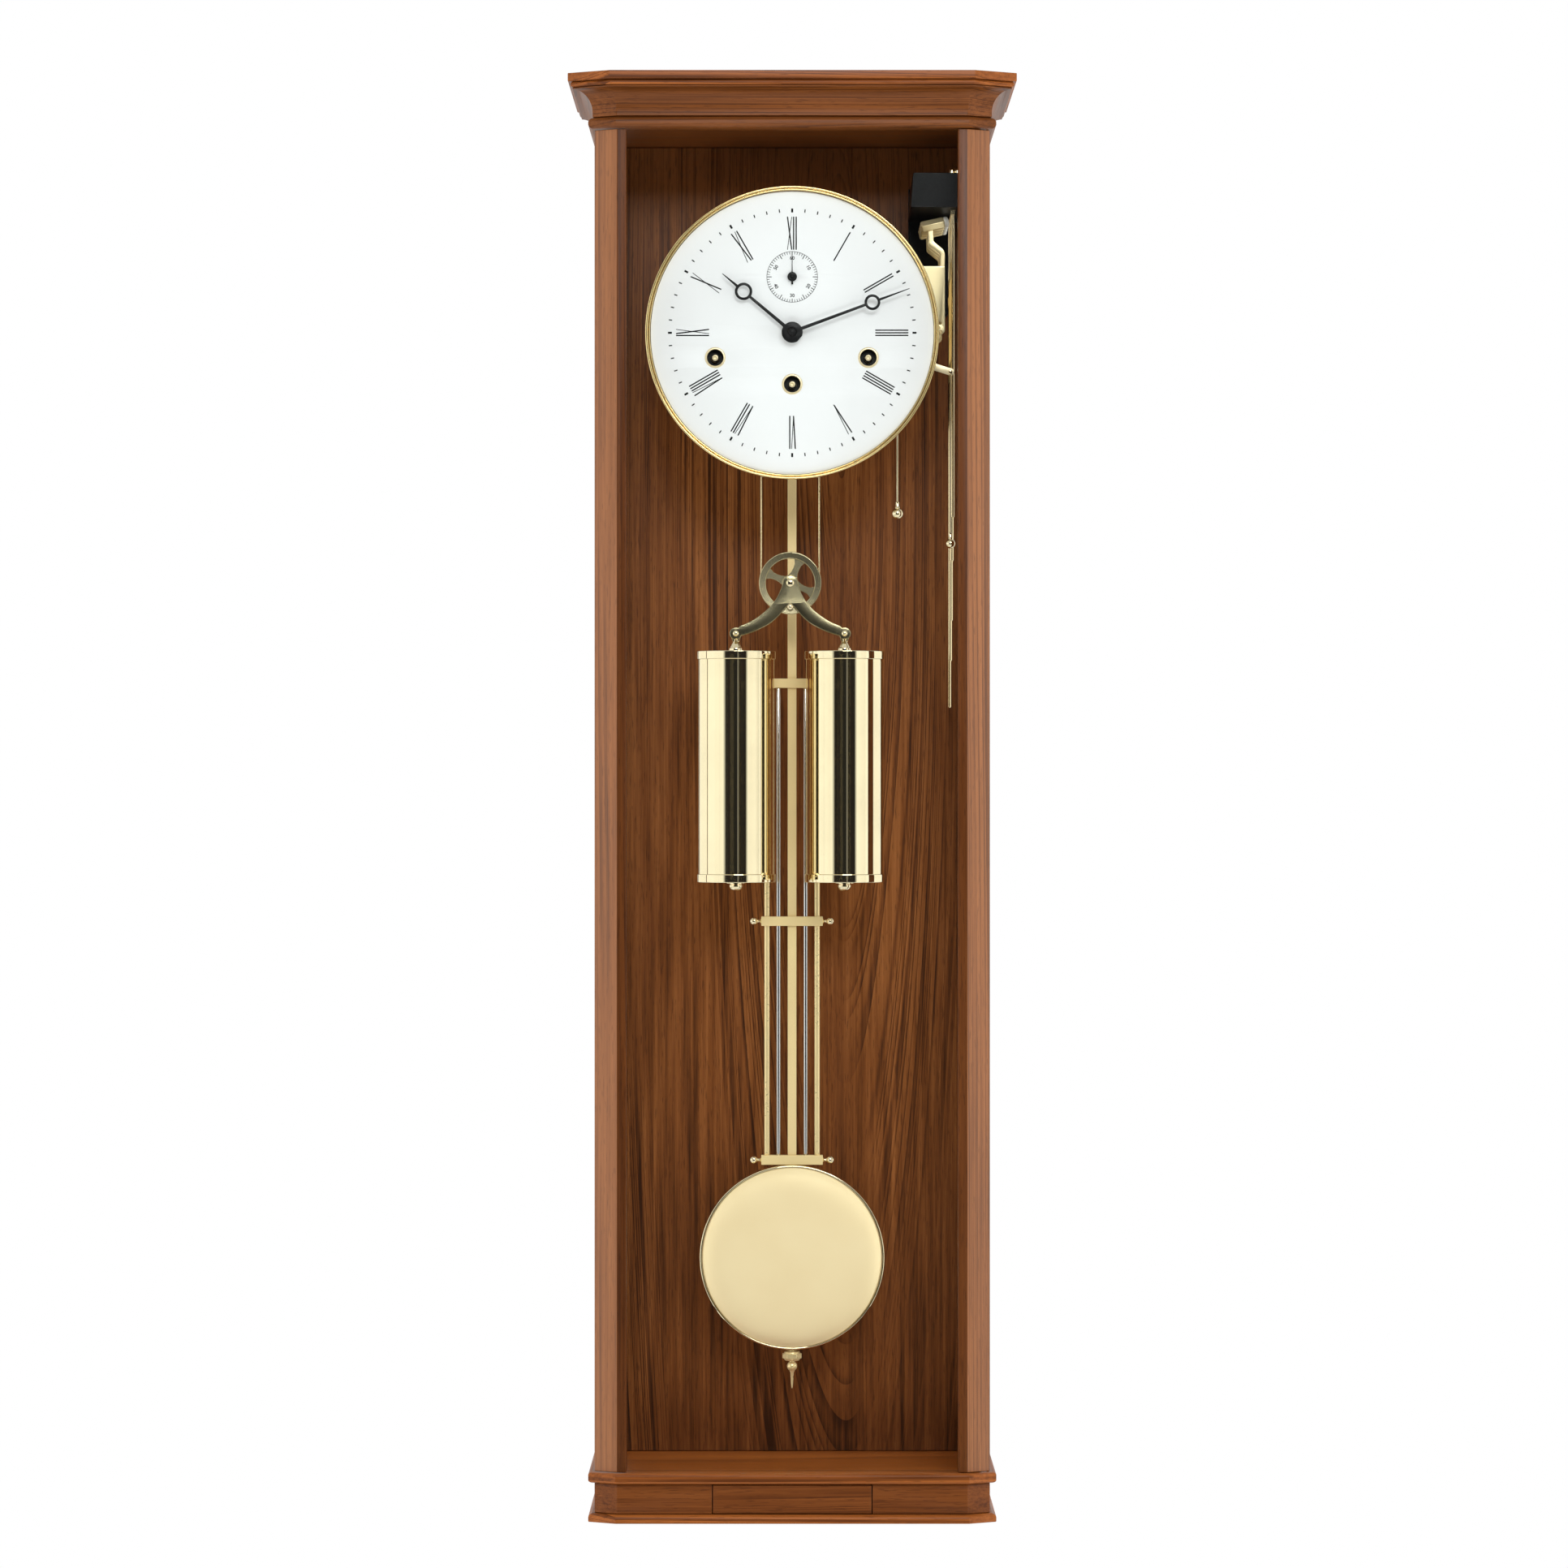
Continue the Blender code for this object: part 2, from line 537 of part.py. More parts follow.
def build_motion_work():
    """Minute wheel, hour wheel with its pipe, and the three hands."""
    centre = (0.0, 0.0)
    middle = dial_point(centre)
    to_minute = bearing(centre, MINUTE_WHEEL_AT)
    here = dial_point(MINUTE_WHEEL_AT)
    wheel = gear(MINUTE_WHEEL_AT, 36, CANNON_MODULE, -137.8, -136.0, to_minute + 180.0)
    pinion = gear(MINUTE_WHEEL_AT, 10, HOUR_MODULE, -141.8, -137.6, to_minute + 180.0, tooth=False)
    stud = arbor(MINUTE_WHEEL_AT, [(1.2, -131.0), (1.2, -142.2)], 10)
    solid("minute_wheel", "polished_brass", [wheel, pinion, stud], pivot=(here[0], 0.0, here[1]))

    wheel = gear(centre, 40, HOUR_MODULE, -141.4, -139.4, to_minute)
    pipe = rod("Y", middle, -150.6, -139.4, 4.2, 14)
    bore = rod("Y", middle, -160.0, -130.0, 2.7, 14)
    solid("hour_wheel", "polished_brass", [wheel, pipe], [bore], pivot=(0.0, 0.0, DIAL_HEIGHT))

    hour = turned_about(hand_outline(65.6, 45.7, 6.1, 7.6, 0.0), HOUR_ANGLE, middle)
    ring = turned_about([(0.0, 45.7)], HOUR_ANGLE, middle)[0]
    cuts = [rod("Y", ring, -160.0, -140.0, 4.5, 12), rod("Y", middle, -160.0, -140.0, 4.5, 14)]
    solid("hour_hand", "black_satin", [prism(hour, "Y", -150.4, -149.6)], cuts, (0.0, 0.0, DIAL_HEIGHT))

    minute = turned_about(hand_outline(90.0, 61.5, 5.5, 7.2, 0.0), MINUTE_ANGLE, middle)
    ring = turned_about([(0.0, 61.5)], MINUTE_ANGLE, middle)[0]
    cuts = [rod("Y", ring, -160.0, -140.0, 3.9, 12), rod("Y", middle, -160.0, -140.0, 1.8, 12)]
    solid("minute_hand", "black_satin", [prism(minute, "Y", -153.4, -152.6)], cuts, (0.0, 0.0, DIAL_HEIGHT))

    here = dial_point(ESCAPE_AT)
    side = [(-0.9, -5.6), (0.9, -5.6), *arc((0.0, 0.0), 3.45, -60.0, 75.0, 6), (0.35, 17.9)]
    outline = side + [(-x, z) for x, z in reversed(side[2:])]
    blade = prism([(here[0] + x, here[1] + z) for x, z in outline], "Y", -147.4, -146.8)
    bore = rod("Y", here, -160.0, -140.0, 1.6, 10)
    solid("seconds_hand", "black_satin", [blade], [bore], (here[0], 0.0, here[1]))


def build_weights():
    """Pulley, yoke, the two shells and the cable they hang on."""
    x, y = WEIGHTS_X, WEIGHTS_Y
    axle = (x, PULLEY_HEIGHT)
    pivot = (x, y, PULLEY_HEIGHT)
    rim = [(17.7, y - 2.2), (PULLEY_RADIUS, y - 2.6), (PULLEY_RADIUS, y - 1.5), (20.0, y - 0.9)]
    rim += [(20.0, y + 0.9), (PULLEY_RADIUS, y + 1.5), (PULLEY_RADIUS, y + 2.6), (17.7, y + 2.2)]
    spokes = []
    for angle in (67.0, 157.0, 247.0, 337.0):
        bar = [(-1.4, 3.0), (1.4, 3.0), (1.4, 18.4), (-1.4, 18.4)]
        spokes.append(prism(turned_about(bar, 90.0 - angle, axle), "Y", y - 1.2, y + 1.2))
    hub = rod("Y", axle, y - 2.4, y + 2.4, 5.0, 16)
    bore = rod("Y", axle, y - 9.0, y + 9.0, 2.4, 12)
    solid("pulley", "polished_brass", [turned(rim, "Y", axle, 28, ring=True), hub, *spokes], [bore], pivot)

    yoke = [prism(yoke_outline(), "Y", y + side - 0.9, y + side + 0.9) for side in (-4.3, 4.3)]
    yoke.append(rod("Y", axle, y - 5.6, y + 5.6, 2.0, 12))
    for reach in (-YOKE_REACH, YOKE_REACH):
        yoke.append(rod("Y", (x + reach, EYE_HEIGHT), y - 5.4, y + 5.4, 1.8, 10))
    solid("weight_yoke", "polished_brass", yoke, pivot=pivot)

    for name, reach in (("weight_left", -YOKE_REACH), ("weight_right", YOKE_REACH)):
        build_weight(name, x + reach)
    build_cable(x, y)


def yoke_outline():
    """The wishbone: a round boss and two legs that sweep out to the weights."""
    bend = (36.0, PULLEY_HEIGHT + 1.3)
    side = arc((0.0, PULLEY_HEIGHT), 6.8, 90.0, -40.0, 6)
    side += arc(bend, 34.0, 200.0, 264.0, 6)
    side += arc((YOKE_REACH, EYE_HEIGHT), 4.5, 110.0, -110.0, 8)
    side += arc(bend, 40.8, 266.0, 214.0, 5)
    outline = side + [(0.0, 651.5)] + [(-px, pz) for px, pz in reversed(side[1:])]
    return [(px + WEIGHTS_X, pz) for px, pz in outline]


def build_weight(name, x):
    """A capped brass shell with the eye that it hangs by and the nut below it."""
    low, high, y = WEIGHT_LOW, WEIGHT_HIGH, WEIGHTS_Y
    steps = [(3.6, low - 6.6), (4.85, low - 5.2), (4.85, low - 1.0), (6.5, low - 0.6), (28.4, low)]
    steps += [(29.0, low + 0.7), (29.0, low + 5.4), (28.35, low + 6.0), (28.35, high - 6.0)]
    steps += [(29.0, high - 5.4), (29.0, high - 0.7), (28.4, high), (7.0, high + 0.8), (4.6, high + 4.4)]
    steps += [(3.0, high + 8.0)]
    body = turned(steps, "Z", (x, y), 24)
    eye = [(-2.4, high + 6.0), (2.4, high + 6.0), *arc((0.0, EYE_HEIGHT), 4.4, -20.0, 200.0, 10)]
    strap = prism([(x + px, pz) for px, pz in eye], "Y", y - 1.3, y + 1.3)
    hole = rod("Y", (x, EYE_HEIGHT), y - 9.0, y + 9.0, 2.3, 12)
    solid(name, "polished_brass", [body, strap], [hole], (x, y, EYE_HEIGHT))


def build_cable(x, y):
    """The cable: down from the drum, round the pulley and up to its fixed end."""
    points = [(x - CABLE_BEND, DIAL_HEIGHT + DRUM_AT[1])]
    points += arc((x, PULLEY_HEIGHT), CABLE_BEND, 180.0, 360.0, 20)
    points.append((x + CABLE_BEND, CABLE_TOP))
    curve = bpy.data.curves.new("weight_cable", "CURVE")
    curve.dimensions = "3D"
    curve.bevel_depth = CABLE_RADIUS * MM
    curve.bevel_resolution = 1
    curve.use_fill_caps = True
    spline = curve.splines.new("POLY")
    spline.points.add(len(points) - 1)
    for spot, (px, pz) in zip(spline.points, points):
        spot.co = (px * MM, y * MM, (pz - HANG_HEIGHT) * MM, 1.0)
    thing = bpy.data.objects.new("weight_cable", curve)
    curve.materials.append(finish_of("steel"))
    bpy.context.scene.collection.objects.link(thing)


def build_pendulum():
    """Spring, centre bar, gridiron, bob and rating nut, hung at the flex point."""
    y = PENDULUM_Y
    pivot = (0.0, y, FLEX_HEIGHT)
    leaf = box((-4.0, y - 0.25, 899.0), (4.0, y + 0.25, 928.0))
    solid("suspension_spring", "steel", [leaf], pivot=pivot)
    bar = box((-BAR_HALF, y - 1.2, 111.9), (BAR_HALF, y + 1.2, 898.7))
    tail = [(2.0, 112.3), (2.0, 104.0), (2.0, 103.2), (3.6, 102.0), (3.8, 100.2), (3.2, 98.2), (1.9, 97.2)]
    tail += [(1.5, 96.0), (0.9, 88.0), (0.3, 84.1)]
    solid("pendulum_bar", "satin_brass", [bar, turned(tail, "Z", (0.0, y), 12)], pivot=pivot)

    shapes = []
    for height in CROSSBARS:
        shapes.append(box((-22.6, y - 4.0, height - 3.45), (22.6, y + 4.0, height + 3.45)))
        for sign in (-1, 1):
            shapes.append(rod("X", (y, height), *sorted((sign * 22.0, sign * 27.0)), 1.2, 8))
            shapes.append(ball((sign * 28.2, y, height), 2.75, 10))
    for sign in (-1, 1):
        shapes.append(rod("Z", (sign * BRASS_X, y), CROSSBARS[2] - 2.0, CROSSBARS[0] + 2.0, 2.0, 10))
    cuts = [box((-BAR_HALF - GAP, y - 1.5, 240.0), (BAR_HALF + GAP, y + 1.5, 620.0))]
    for sign in (-1, 1):
        cuts.append(rod("Z", (sign * STEEL_X, y), 240.0, 620.0, 2.1, 10))
    solid("gridiron_frame", "polished_brass", shapes, cuts, pivot)
    for side, sign in (("left", -1), ("right", 1)):
        low, high = CROSSBARS[2] - 3.0, CROSSBARS[0] + 3.0
        solid(f"gridiron_steel_{side}", "steel", [rod("Z", (sign * STEEL_X, y), low, high, 1.68, 10)], pivot=pivot)

    half = BOB_DEPTH / 2
    steps = [(0.0, y - half), (24.0, y - half + 0.6), (46.0, y - half + 2.6), (62.0, y - half + 6.0)]
    steps += [(66.4, y - half + 7.4), (BOB_RADIUS, y - 3.4), (BOB_RADIUS, y + 3.4), (66.4, y + half - 7.4)]
    steps += [(62.0, y + half - 6.0), (46.0, y + half - 2.6), (0.0, y + half)]
    lens = turned(steps, "Y", (0.0, BOB_HEIGHT), 40)
    slot = box((-BAR_HALF - GAP, y - 1.5, 90.0), (BAR_HALF + GAP, y + 1.5, 270.0))
    solid("pendulum_bob", "satin_brass", [lens], [slot], pivot)

    hexagon = [(7.16 * math.cos(a), y + 7.16 * math.sin(a)) for a in (math.pi * k / 3 for k in range(6))]
    bore = rod("Z", (0.0, y), 100.0, 120.0, 2.4, 12)
    solid("rating_nut", "polished_brass", [prism(hexagon, "Z", 104.4, 111.5)], [bore], (0.0, y, 108.0))


def build_anchor():
    """Pallets over the escape wheel, on the arbor whose crutch drives the pendulum."""
    here = dial_point(VERGE_AT)
    arms = [(-3.0, 3.0), (3.0, 3.0), (10.6, -3.6), (12.2, -10.2), (11.0, -10.6), (8.0, -4.6), (2.4, -1.6)]
    arms += [(-2.4, -1.6), (-8.0, -4.6), (-11.0, -10.6), (-12.2, -10.2), (-10.6, -3.6)]
    pallets = prism([(here[0] + px, here[1] + pz) for px, pz in arms], "Y", -95.4, -93.4)
    shaft = rod("Y", here, -133.5, -79.0, 1.3, 10)
    crutch = box((-1.6, -82.0, 862.0), (1.6, -80.0, here[1]))
    foot = box((-5.6, -82.0, 860.0), (5.6, -80.0, 864.0))
    prongs = []
    for low in (-5.6, 3.8):
        prongs.append(box((low, -81.0, 860.0), (low + 1.8, PENDULUM_Y + 3.0, 864.0)))
    pivot = (here[0], 0.0, here[1])
    solid("pallet_anchor", "steel", [pallets, shaft, crutch, foot, *prongs], pivot=pivot)


def build_gong():
    """Iron gong block on the back panel with its rods hung in a row below it."""
    rear = PANEL_FRONT - GAP
    beam = prism([(86.0, GONG_LOW), (125.0, GONG_LOW), (125.0, GONG_HIGH), (88.0, GONG_HIGH)], "Y", -130.0, rear - 4.0)
    flange = [(86.6, GONG_HIGH), (86.6, 884.0), *arc((102.8, 887.2), 16.2, 192.0, 348.0, 8), (119.0, GONG_HIGH)]
    solid("gong_block", "cast_iron", [beam, prism(flange, "Y", FLANGE_FRONT, rear)])
    rail = box((GONG_X - 1.6, -123.0, GONG_LOW - 4.5), (GONG_X + 1.6, -41.0, GONG_LOW - GAP))
    rods = []
    for row, end in zip(GONG_ROWS, GONG_ENDS):
        rods.append(rod("Z", (GONG_X, row), end, GONG_LOW - 2.0, 1.5, 8))
    solid("gong_rods", "steel", [rail, *rods])


def build_hammers():
    """Hammer bracket with its pivot rod, and a hammer for each of the first four gong rods."""
    px, pz = HAMMER_PIVOT
    cheek = [(84.0, 826.0), (100.0, 826.0), (100.0, 850.0), (110.6, 853.6), (110.6, 903.4), (84.0, 903.4)]
    plates = [prism(cheek, "Y", -130.0, -128.0), prism(cheek, "Y", -54.0, -52.0)]
    web = box((84.0, -129.0, 840.0), (86.0, -53.0, 900.0))
    foot = box((84.0, -53.0, 884.0), (100.0, FLANGE_FRONT - GAP, 890.0))
    spindle = rod("Y", HAMMER_PIVOT, -129.0, -53.0, 1.3, 10)
    solid("hammer_bracket", "polished_brass", [plates[0], web, plates[1], foot, spindle])
    for number, row in enumerate(GONG_ROWS[:4], 1):
        arm = [(px + 2.6, pz), (px + 4.6, 880.0), (px + 5.2, 914.0), (px - 4.2, 920.5), (px - 4.4, 930.0)]
        arm += [(px - 6.6, 930.0), (px - 6.4, 919.0), (px + 3.0, 912.6), (px + 2.4, 881.0), (px - 1.0, pz)]
        head = turned_about([(-10.2, -3.2), (10.0, -3.2), (10.0, 3.2), (-10.2, 3.2)], -12.0, (103.6, 932.0))
        shapes = [rod("Y", HAMMER_PIVOT, row - 3.0, row + 3.0, 3.2, 12), prism(arm, "Y", row - 1.0, row + 1.0)]
        shapes.append(prism(head, "Y", row - 3.2, row + 3.2))
        bore = rod("Y", HAMMER_PIVOT, row - 9.0, row + 9.0, 1.7, 12)
        solid(f"hammer_{number}", "satin_brass", shapes, [bore], (px, 0.0, pz))


def build_pulls():
    """Silence lever with its pull, and the pull that repeats the strike."""
    x, z = LEVER_PIVOT
    strap = [(x - 4.0, z - 1.6), (x + 18.2, z - 13.4), (x + 21.4, z - 9.6), (x - 1.0, z + 4.0), (x - 4.0, z + 3.0)]
    pin = rod("Y", (SILENCE_X, 827.0), LEVER_Y - 3.0, LEVER_Y + 1.0, 1.2, 8)
    stud = rod("Y", LEVER_PIVOT, LEVER_Y - 3.6, LEVER_Y + 1.0, 1.8, 10)
    shape = prism(strap, "Y", LEVER_Y - 0.8, LEVER_Y + 0.8)
    solid("silence_lever", "polished_brass", [shape, pin, stud], pivot=(x, 0.0, z))
    for name, at, y, top, low, r in (
        ("silence_pull", SILENCE_X, LEVER_Y - 2.6, 825.0, 702.7, 3.5),
        ("strike_pull", STRIKE_X, -122.0, 790.0, 724.6, 4.1),
    ):
        steps = [(0.0, low - r), (r * 0.7, low - r * 0.7), (r, low), (r * 0.7, low + r * 0.7)]
        steps += [(1.4, low + r), (1.4, low + r + 4.0), (0.6, low + r + 4.6), (0.6, top)]
        solid(name, "polished_brass", [turned(steps, "Z", (at, y), 10)], pivot=(at, y, top))


def main():
    for thing in list(bpy.data.objects):
        bpy.data.objects.remove(thing, do_unlink=True)
    build_case_boards()
    build_case_walls()
    build_door()
    build_drawer()
    build_dial()
    build_plates()
    build_seat()
    build_train()
    build_drum_and_barrels()
    build_motion_work()
    build_weights()
    build_pendulum()
    build_anchor()
    build_gong()
    build_hammers()
    build_pulls()


main()
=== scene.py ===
import math

import bmesh
import bpy
from mathutils import Matrix, Vector


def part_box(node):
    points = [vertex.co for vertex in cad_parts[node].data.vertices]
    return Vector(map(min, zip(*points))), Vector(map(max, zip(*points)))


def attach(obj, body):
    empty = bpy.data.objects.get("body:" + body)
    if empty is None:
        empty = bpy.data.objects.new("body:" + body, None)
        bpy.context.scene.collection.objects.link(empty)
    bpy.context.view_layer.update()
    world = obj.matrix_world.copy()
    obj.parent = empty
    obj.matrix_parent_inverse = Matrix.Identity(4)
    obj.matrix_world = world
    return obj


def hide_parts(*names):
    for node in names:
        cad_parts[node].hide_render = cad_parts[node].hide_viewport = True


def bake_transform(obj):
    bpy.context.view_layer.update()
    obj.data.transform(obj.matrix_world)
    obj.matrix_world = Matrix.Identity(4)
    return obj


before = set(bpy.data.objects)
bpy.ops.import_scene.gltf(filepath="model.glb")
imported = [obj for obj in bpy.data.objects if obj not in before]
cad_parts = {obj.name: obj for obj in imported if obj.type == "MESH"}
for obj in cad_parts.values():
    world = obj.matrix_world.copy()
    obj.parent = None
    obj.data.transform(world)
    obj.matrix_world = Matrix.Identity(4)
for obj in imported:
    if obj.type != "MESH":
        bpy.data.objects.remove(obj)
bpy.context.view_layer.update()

MM = 0.001
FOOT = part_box("foot_board")[0].z  # lowest plane of the clock
SMOOTH_ANGLE = math.radians(32)
MERGE = 0.000002  # metres; corners closer than this are one corner


def up(height):
    """World Z of a height in millimetres above the foot."""
    return FOOT + height * MM


def extent(node):
    """A CAD node's box in millimetres: (low, high) in x, in y and in height above the foot."""
    low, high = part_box(node)
    return (low.x / MM, high.x / MM), (low.y / MM, high.y / MM), ((low.z - FOOT) / MM, (high.z - FOOT) / MM)


def middle(node):
    """Centre of a CAD node's box, in the same measures."""
    return [(low + high) / 2 for low, high in extent(node)]


def heights(node):
    """Lowest and highest plane of a CAD node, in millimetres above the foot."""
    return extent(node)[2]


# ---- camera and light

CAMERA_BACK = 3.975
CAMERA_LEFT = 0.0059
CAMERA_HEIGHT = 528.6
LENS = 122.0
FLOOR_HEIGHT = -1150.0


def make_camera():
    """Looks straight at the clock from the front, level, from four metres."""
    data = bpy.data.cameras.new("camera")
    data.lens = LENS
    data.sensor_width = 36.0
    camera = bpy.data.objects.new("camera", data)
    camera.location = (-CAMERA_LEFT, -CAMERA_BACK, up(CAMERA_HEIGHT))
    camera.rotation_euler = (math.pi / 2, 0.0, 0.0)
    bpy.context.scene.collection.objects.link(camera)
    bpy.context.scene.camera = camera


def make_lamp(name, place, target, size, power, mirrored=True):
    """A rectangular softbox, unseen by the camera itself."""
    data = bpy.data.lights.new(name, "AREA")
    data.shape = "RECTANGLE"
    data.size, data.size_y = size
    data.energy = power
    lamp = bpy.data.objects.new(name, data)
    lamp.location = place
    lamp.rotation_euler = (Vector(target) - Vector(place)).to_track_quat("-Z", "Y").to_euler()
    lamp.visible_camera = False
    lamp.visible_glossy = mirrored
    bpy.context.scene.collection.objects.link(lamp)


class Graph:
    """Short calls for building a node tree."""

    def __init__(self, tree):
        self.tree = tree
        tree.nodes.clear()

    def add(self, kind, values=None, **settings):
        """A node with its settings; values fill its inputs with numbers or with other outputs."""
        node = self.tree.nodes.new(kind)
        for key, value in settings.items():
            setattr(node, key, value)
        for key, value in (values or {}).items():
            self.feed(node.inputs[key], value)
        return node

    def feed(self, socket, value):
        if isinstance(value, bpy.types.NodeSocket):
            self.tree.links.new(value, socket)
        elif isinstance(value, tuple) and len(value) == 3 and socket.type == "RGBA":
            socket.default_value = (*value, 1.0)
        else:
            socket.default_value = value

    def math(self, operation, a, b=0.0):
        return self.add("ShaderNodeMath", {0: a, 1: b}, operation=operation).outputs[0]

    def plus(self, a, b):
        return self.math("ADD", a, b)

    def times(self, a, b):
        return self.math("MULTIPLY", a, b)

    def distance(self, a, b):
        """Square root of the sum of two squares."""
        return self.math("SQRT", self.plus(self.math("POWER", a, 2.0), self.math("POWER", b, 2.0)))

    def split(self, vector):
        return self.add("ShaderNodeSeparateXYZ", {0: vector}).outputs

    def mix(self, factor, a, b):
        node = self.add("ShaderNodeMix", data_type="RGBA")
        for socket, value in ((node.inputs[0], factor), (node.inputs[6], a), (node.inputs[7], b)):
            self.feed(socket, value)
        return node.outputs[2]

    def ramp(self, factor, *stops):
        """A colour ramp through (place, colour) stops."""
        node = self.add("ShaderNodeValToRGB", {0: factor})
        elements = node.color_ramp.elements
        while len(elements) < len(stops):
            elements.new(0.5)
        for element, (place, colour) in zip(elements, stops):
            element.position = place
            element.color = (*colour, 1.0)
        return node.outputs[0]

    def span(self, value, low, high, start=0.0, end=1.0):
        """A value mapped from one range to another, held at the ends."""
        node = self.add("ShaderNodeMapRange", {0: value, 1: low, 2: high, 3: start, 4: end})
        return node.outputs[0]

    def noise(self, place, scale, detail=2.0, rough=0.5):
        values = {"Vector": place, "Scale": scale, "Detail": detail, "Roughness": rough}
        return self.add("ShaderNodeTexNoise", values).outputs[0]

    def line_noise(self, distance, detail):
        """Noise in one dimension, along a distance."""
        values = {"W": distance, "Scale": 1.0, "Detail": detail}
        return self.add("ShaderNodeTexNoise", values, noise_dimensions="1D").outputs[0]

    def surface(self, colour, gloss, height, relief, strength, fixed=()):
        """A bumped surface; fixed holds (socket, number) pairs for values that are the same all over."""
        bump = self.add("ShaderNodeBump", {"Height": height, "Distance": relief, "Strength": strength})
        values = {"Base Color": colour, "Roughness": gloss, "Normal": bump.outputs[0]}
        shader = self.add("ShaderNodeBsdfPrincipled", values)
        for socket, number in fixed:
            shader.inputs[socket].default_value = number
        return shader


def material(recipe):
    """Turns a shader recipe into a function that makes a material of a given name once."""
    def make(name, *values, **settings):
        made = bpy.data.materials.get(name)
        if made is None:
            made = bpy.data.materials.new(name)
            made.use_nodes = True
            g = Graph(made.node_tree)
            here = g.add("ShaderNodeTexCoord").outputs["Object"]
            shader = recipe(g, here, *values, **settings)
            g.add("ShaderNodeOutputMaterial", {0: shader.outputs[0]})
        return made
    return make


def make_world():
    """Pale to the eye; to the metal it is a studio with a dark middle between two bright walls."""
    world = bpy.data.worlds.new("studio")
    bpy.context.scene.world = world
    world.use_nodes = True
    g = Graph(world.node_tree)
    x, y, z = g.split(g.add("ShaderNodeTexCoord").outputs["Generated"])
    across = g.math("DIVIDE", x, g.math("MAXIMUM", g.distance(x, y), 0.001))
    both_walls = g.plus(g.span(across, -0.50, -0.62), g.span(across, 0.50, 0.60))
    tall = g.span(g.math("ABSOLUTE", z), 0.20, 0.50, 1.0, 0.0)
    walls = g.times(both_walls, g.plus(tall, 0.25))
    facing = g.span(y, -0.05, 0.05, 1.0, 0.0)
    slit = g.span(g.math("ABSOLUTE", g.math("SUBTRACT", across, 0.12)), 0.04, 0.02, 0.0, 0.22)
    dark = g.plus(g.times(facing, slit), 0.02)
    behind = g.times(g.math("SUBTRACT", 1.0, facing), 0.75)
    high = g.span(z, 0.24, 0.45, 0.0, 0.75)
    low = g.span(z, -0.50, -0.26, 1.05, 0.0)
    level = g.math("MAXIMUM", g.plus(dark, walls), behind)
    level = g.math("MAXIMUM", level, g.math("MAXIMUM", high, low))
    seen = g.add("ShaderNodeLightPath").outputs["Is Camera Ray"]
    studio = g.add("ShaderNodeBackground", {0: (1.0, 0.985, 0.96), 1: level})
    plain = g.add("ShaderNodeBackground", {0: (1.0, 1.0, 1.0), 1: 1.0})
    both = g.add("ShaderNodeMixShader", {0: seen, 1: studio.outputs[0], 2: plain.outputs[0]})
    g.add("ShaderNodeOutputWorld", {0: both.outputs[0]})


@material
def floor_paint(g, here):
    """Pale grey with faint clouds."""
    colour = g.ramp(g.noise(here, 3.0, 4.0), (0.3, (0.80, 0.80, 0.79)), (0.7, (0.86, 0.86, 0.85)))
    return g.add("ShaderNodeBsdfPrincipled", {"Base Color": colour, "Roughness": 0.7})


def make_stage():
    """Pale floor well below the clock, which hangs at eye height."""
    bpy.ops.mesh.primitive_plane_add(size=5.0, location=(0.0, 0.0, up(FLOOR_HEIGHT)))
    floor = bpy.context.object
    floor.name = "studio_floor"
    floor.data.materials.append(floor_paint("floor_paint"))


def light_the_scene():
    """A key above the camera, a weak fill below it, and a softbox at each side."""
    aim = (0.0, -0.1, up(520.0))
    tall = (0.9, 1.8)
    make_lamp("key_softbox", (0.40, -2.8, up(1820.0)), aim, (1.4, 0.75), 36.0)
    make_lamp("low_softbox", (0.0, -2.2, up(-350.0)), (0.0, 0.0, up(950.0)), (1.2, 0.5), 9.0, False)
    make_lamp("left_softbox", (-2.4, -0.6, up(620.0)), aim, tall, 34.0, False)
    make_lamp("right_softbox", (2.4, -0.6, up(620.0)), aim, tall, 42.0, False)
    scene = bpy.context.scene
    scene.view_settings.view_transform = "Standard"
    scene.view_settings.look = "None"


# ---- materials

WALNUT_TONES = {  # pores and late wood, body, early wood
    "panel": ((0.036, 0.0105, 0.0024), (0.150, 0.0450, 0.0095), (0.270, 0.0920, 0.0230)),
    "case": ((0.050, 0.0140, 0.0028), (0.120, 0.0355, 0.0070), (0.180, 0.0560, 0.0122)),
    # Cornice cap, base bead, foot and the head board's underside: a lighter copy of the case walnut, painted
    # light.
    "rim": ((0.085, 0.0225, 0.0042), (0.200, 0.0560, 0.0100), (0.290, 0.0880, 0.0180)),
    "flat": ((0.052, 0.0135, 0.0025), (0.122, 0.0340, 0.0062), (0.172, 0.0510, 0.0102)),
    # Front faces of the stiles: a darker copy of the walnut, painted shade where the side lamps miss them.
    "strip": ((0.032, 0.0085, 0.0014), (0.076, 0.0210, 0.0034), (0.110, 0.0320, 0.0056)),
    # Slanted faces of the stiles: a lighter copy of the walnut, painted light where the side lamps fall.
    "cant": ((0.100, 0.0330, 0.0080), (0.190, 0.0640, 0.0160), (0.255, 0.0920, 0.0260)),
    "floor": ((0.250, 0.0650, 0.0095), (0.390, 0.1060, 0.0155), (0.480, 0.1420, 0.0240)),
}
GRAIN = {"X": (2, 1, 0), "Y": (2, 0, 1), "Z": (0, 1, 2)}  # across the board, through it, along it


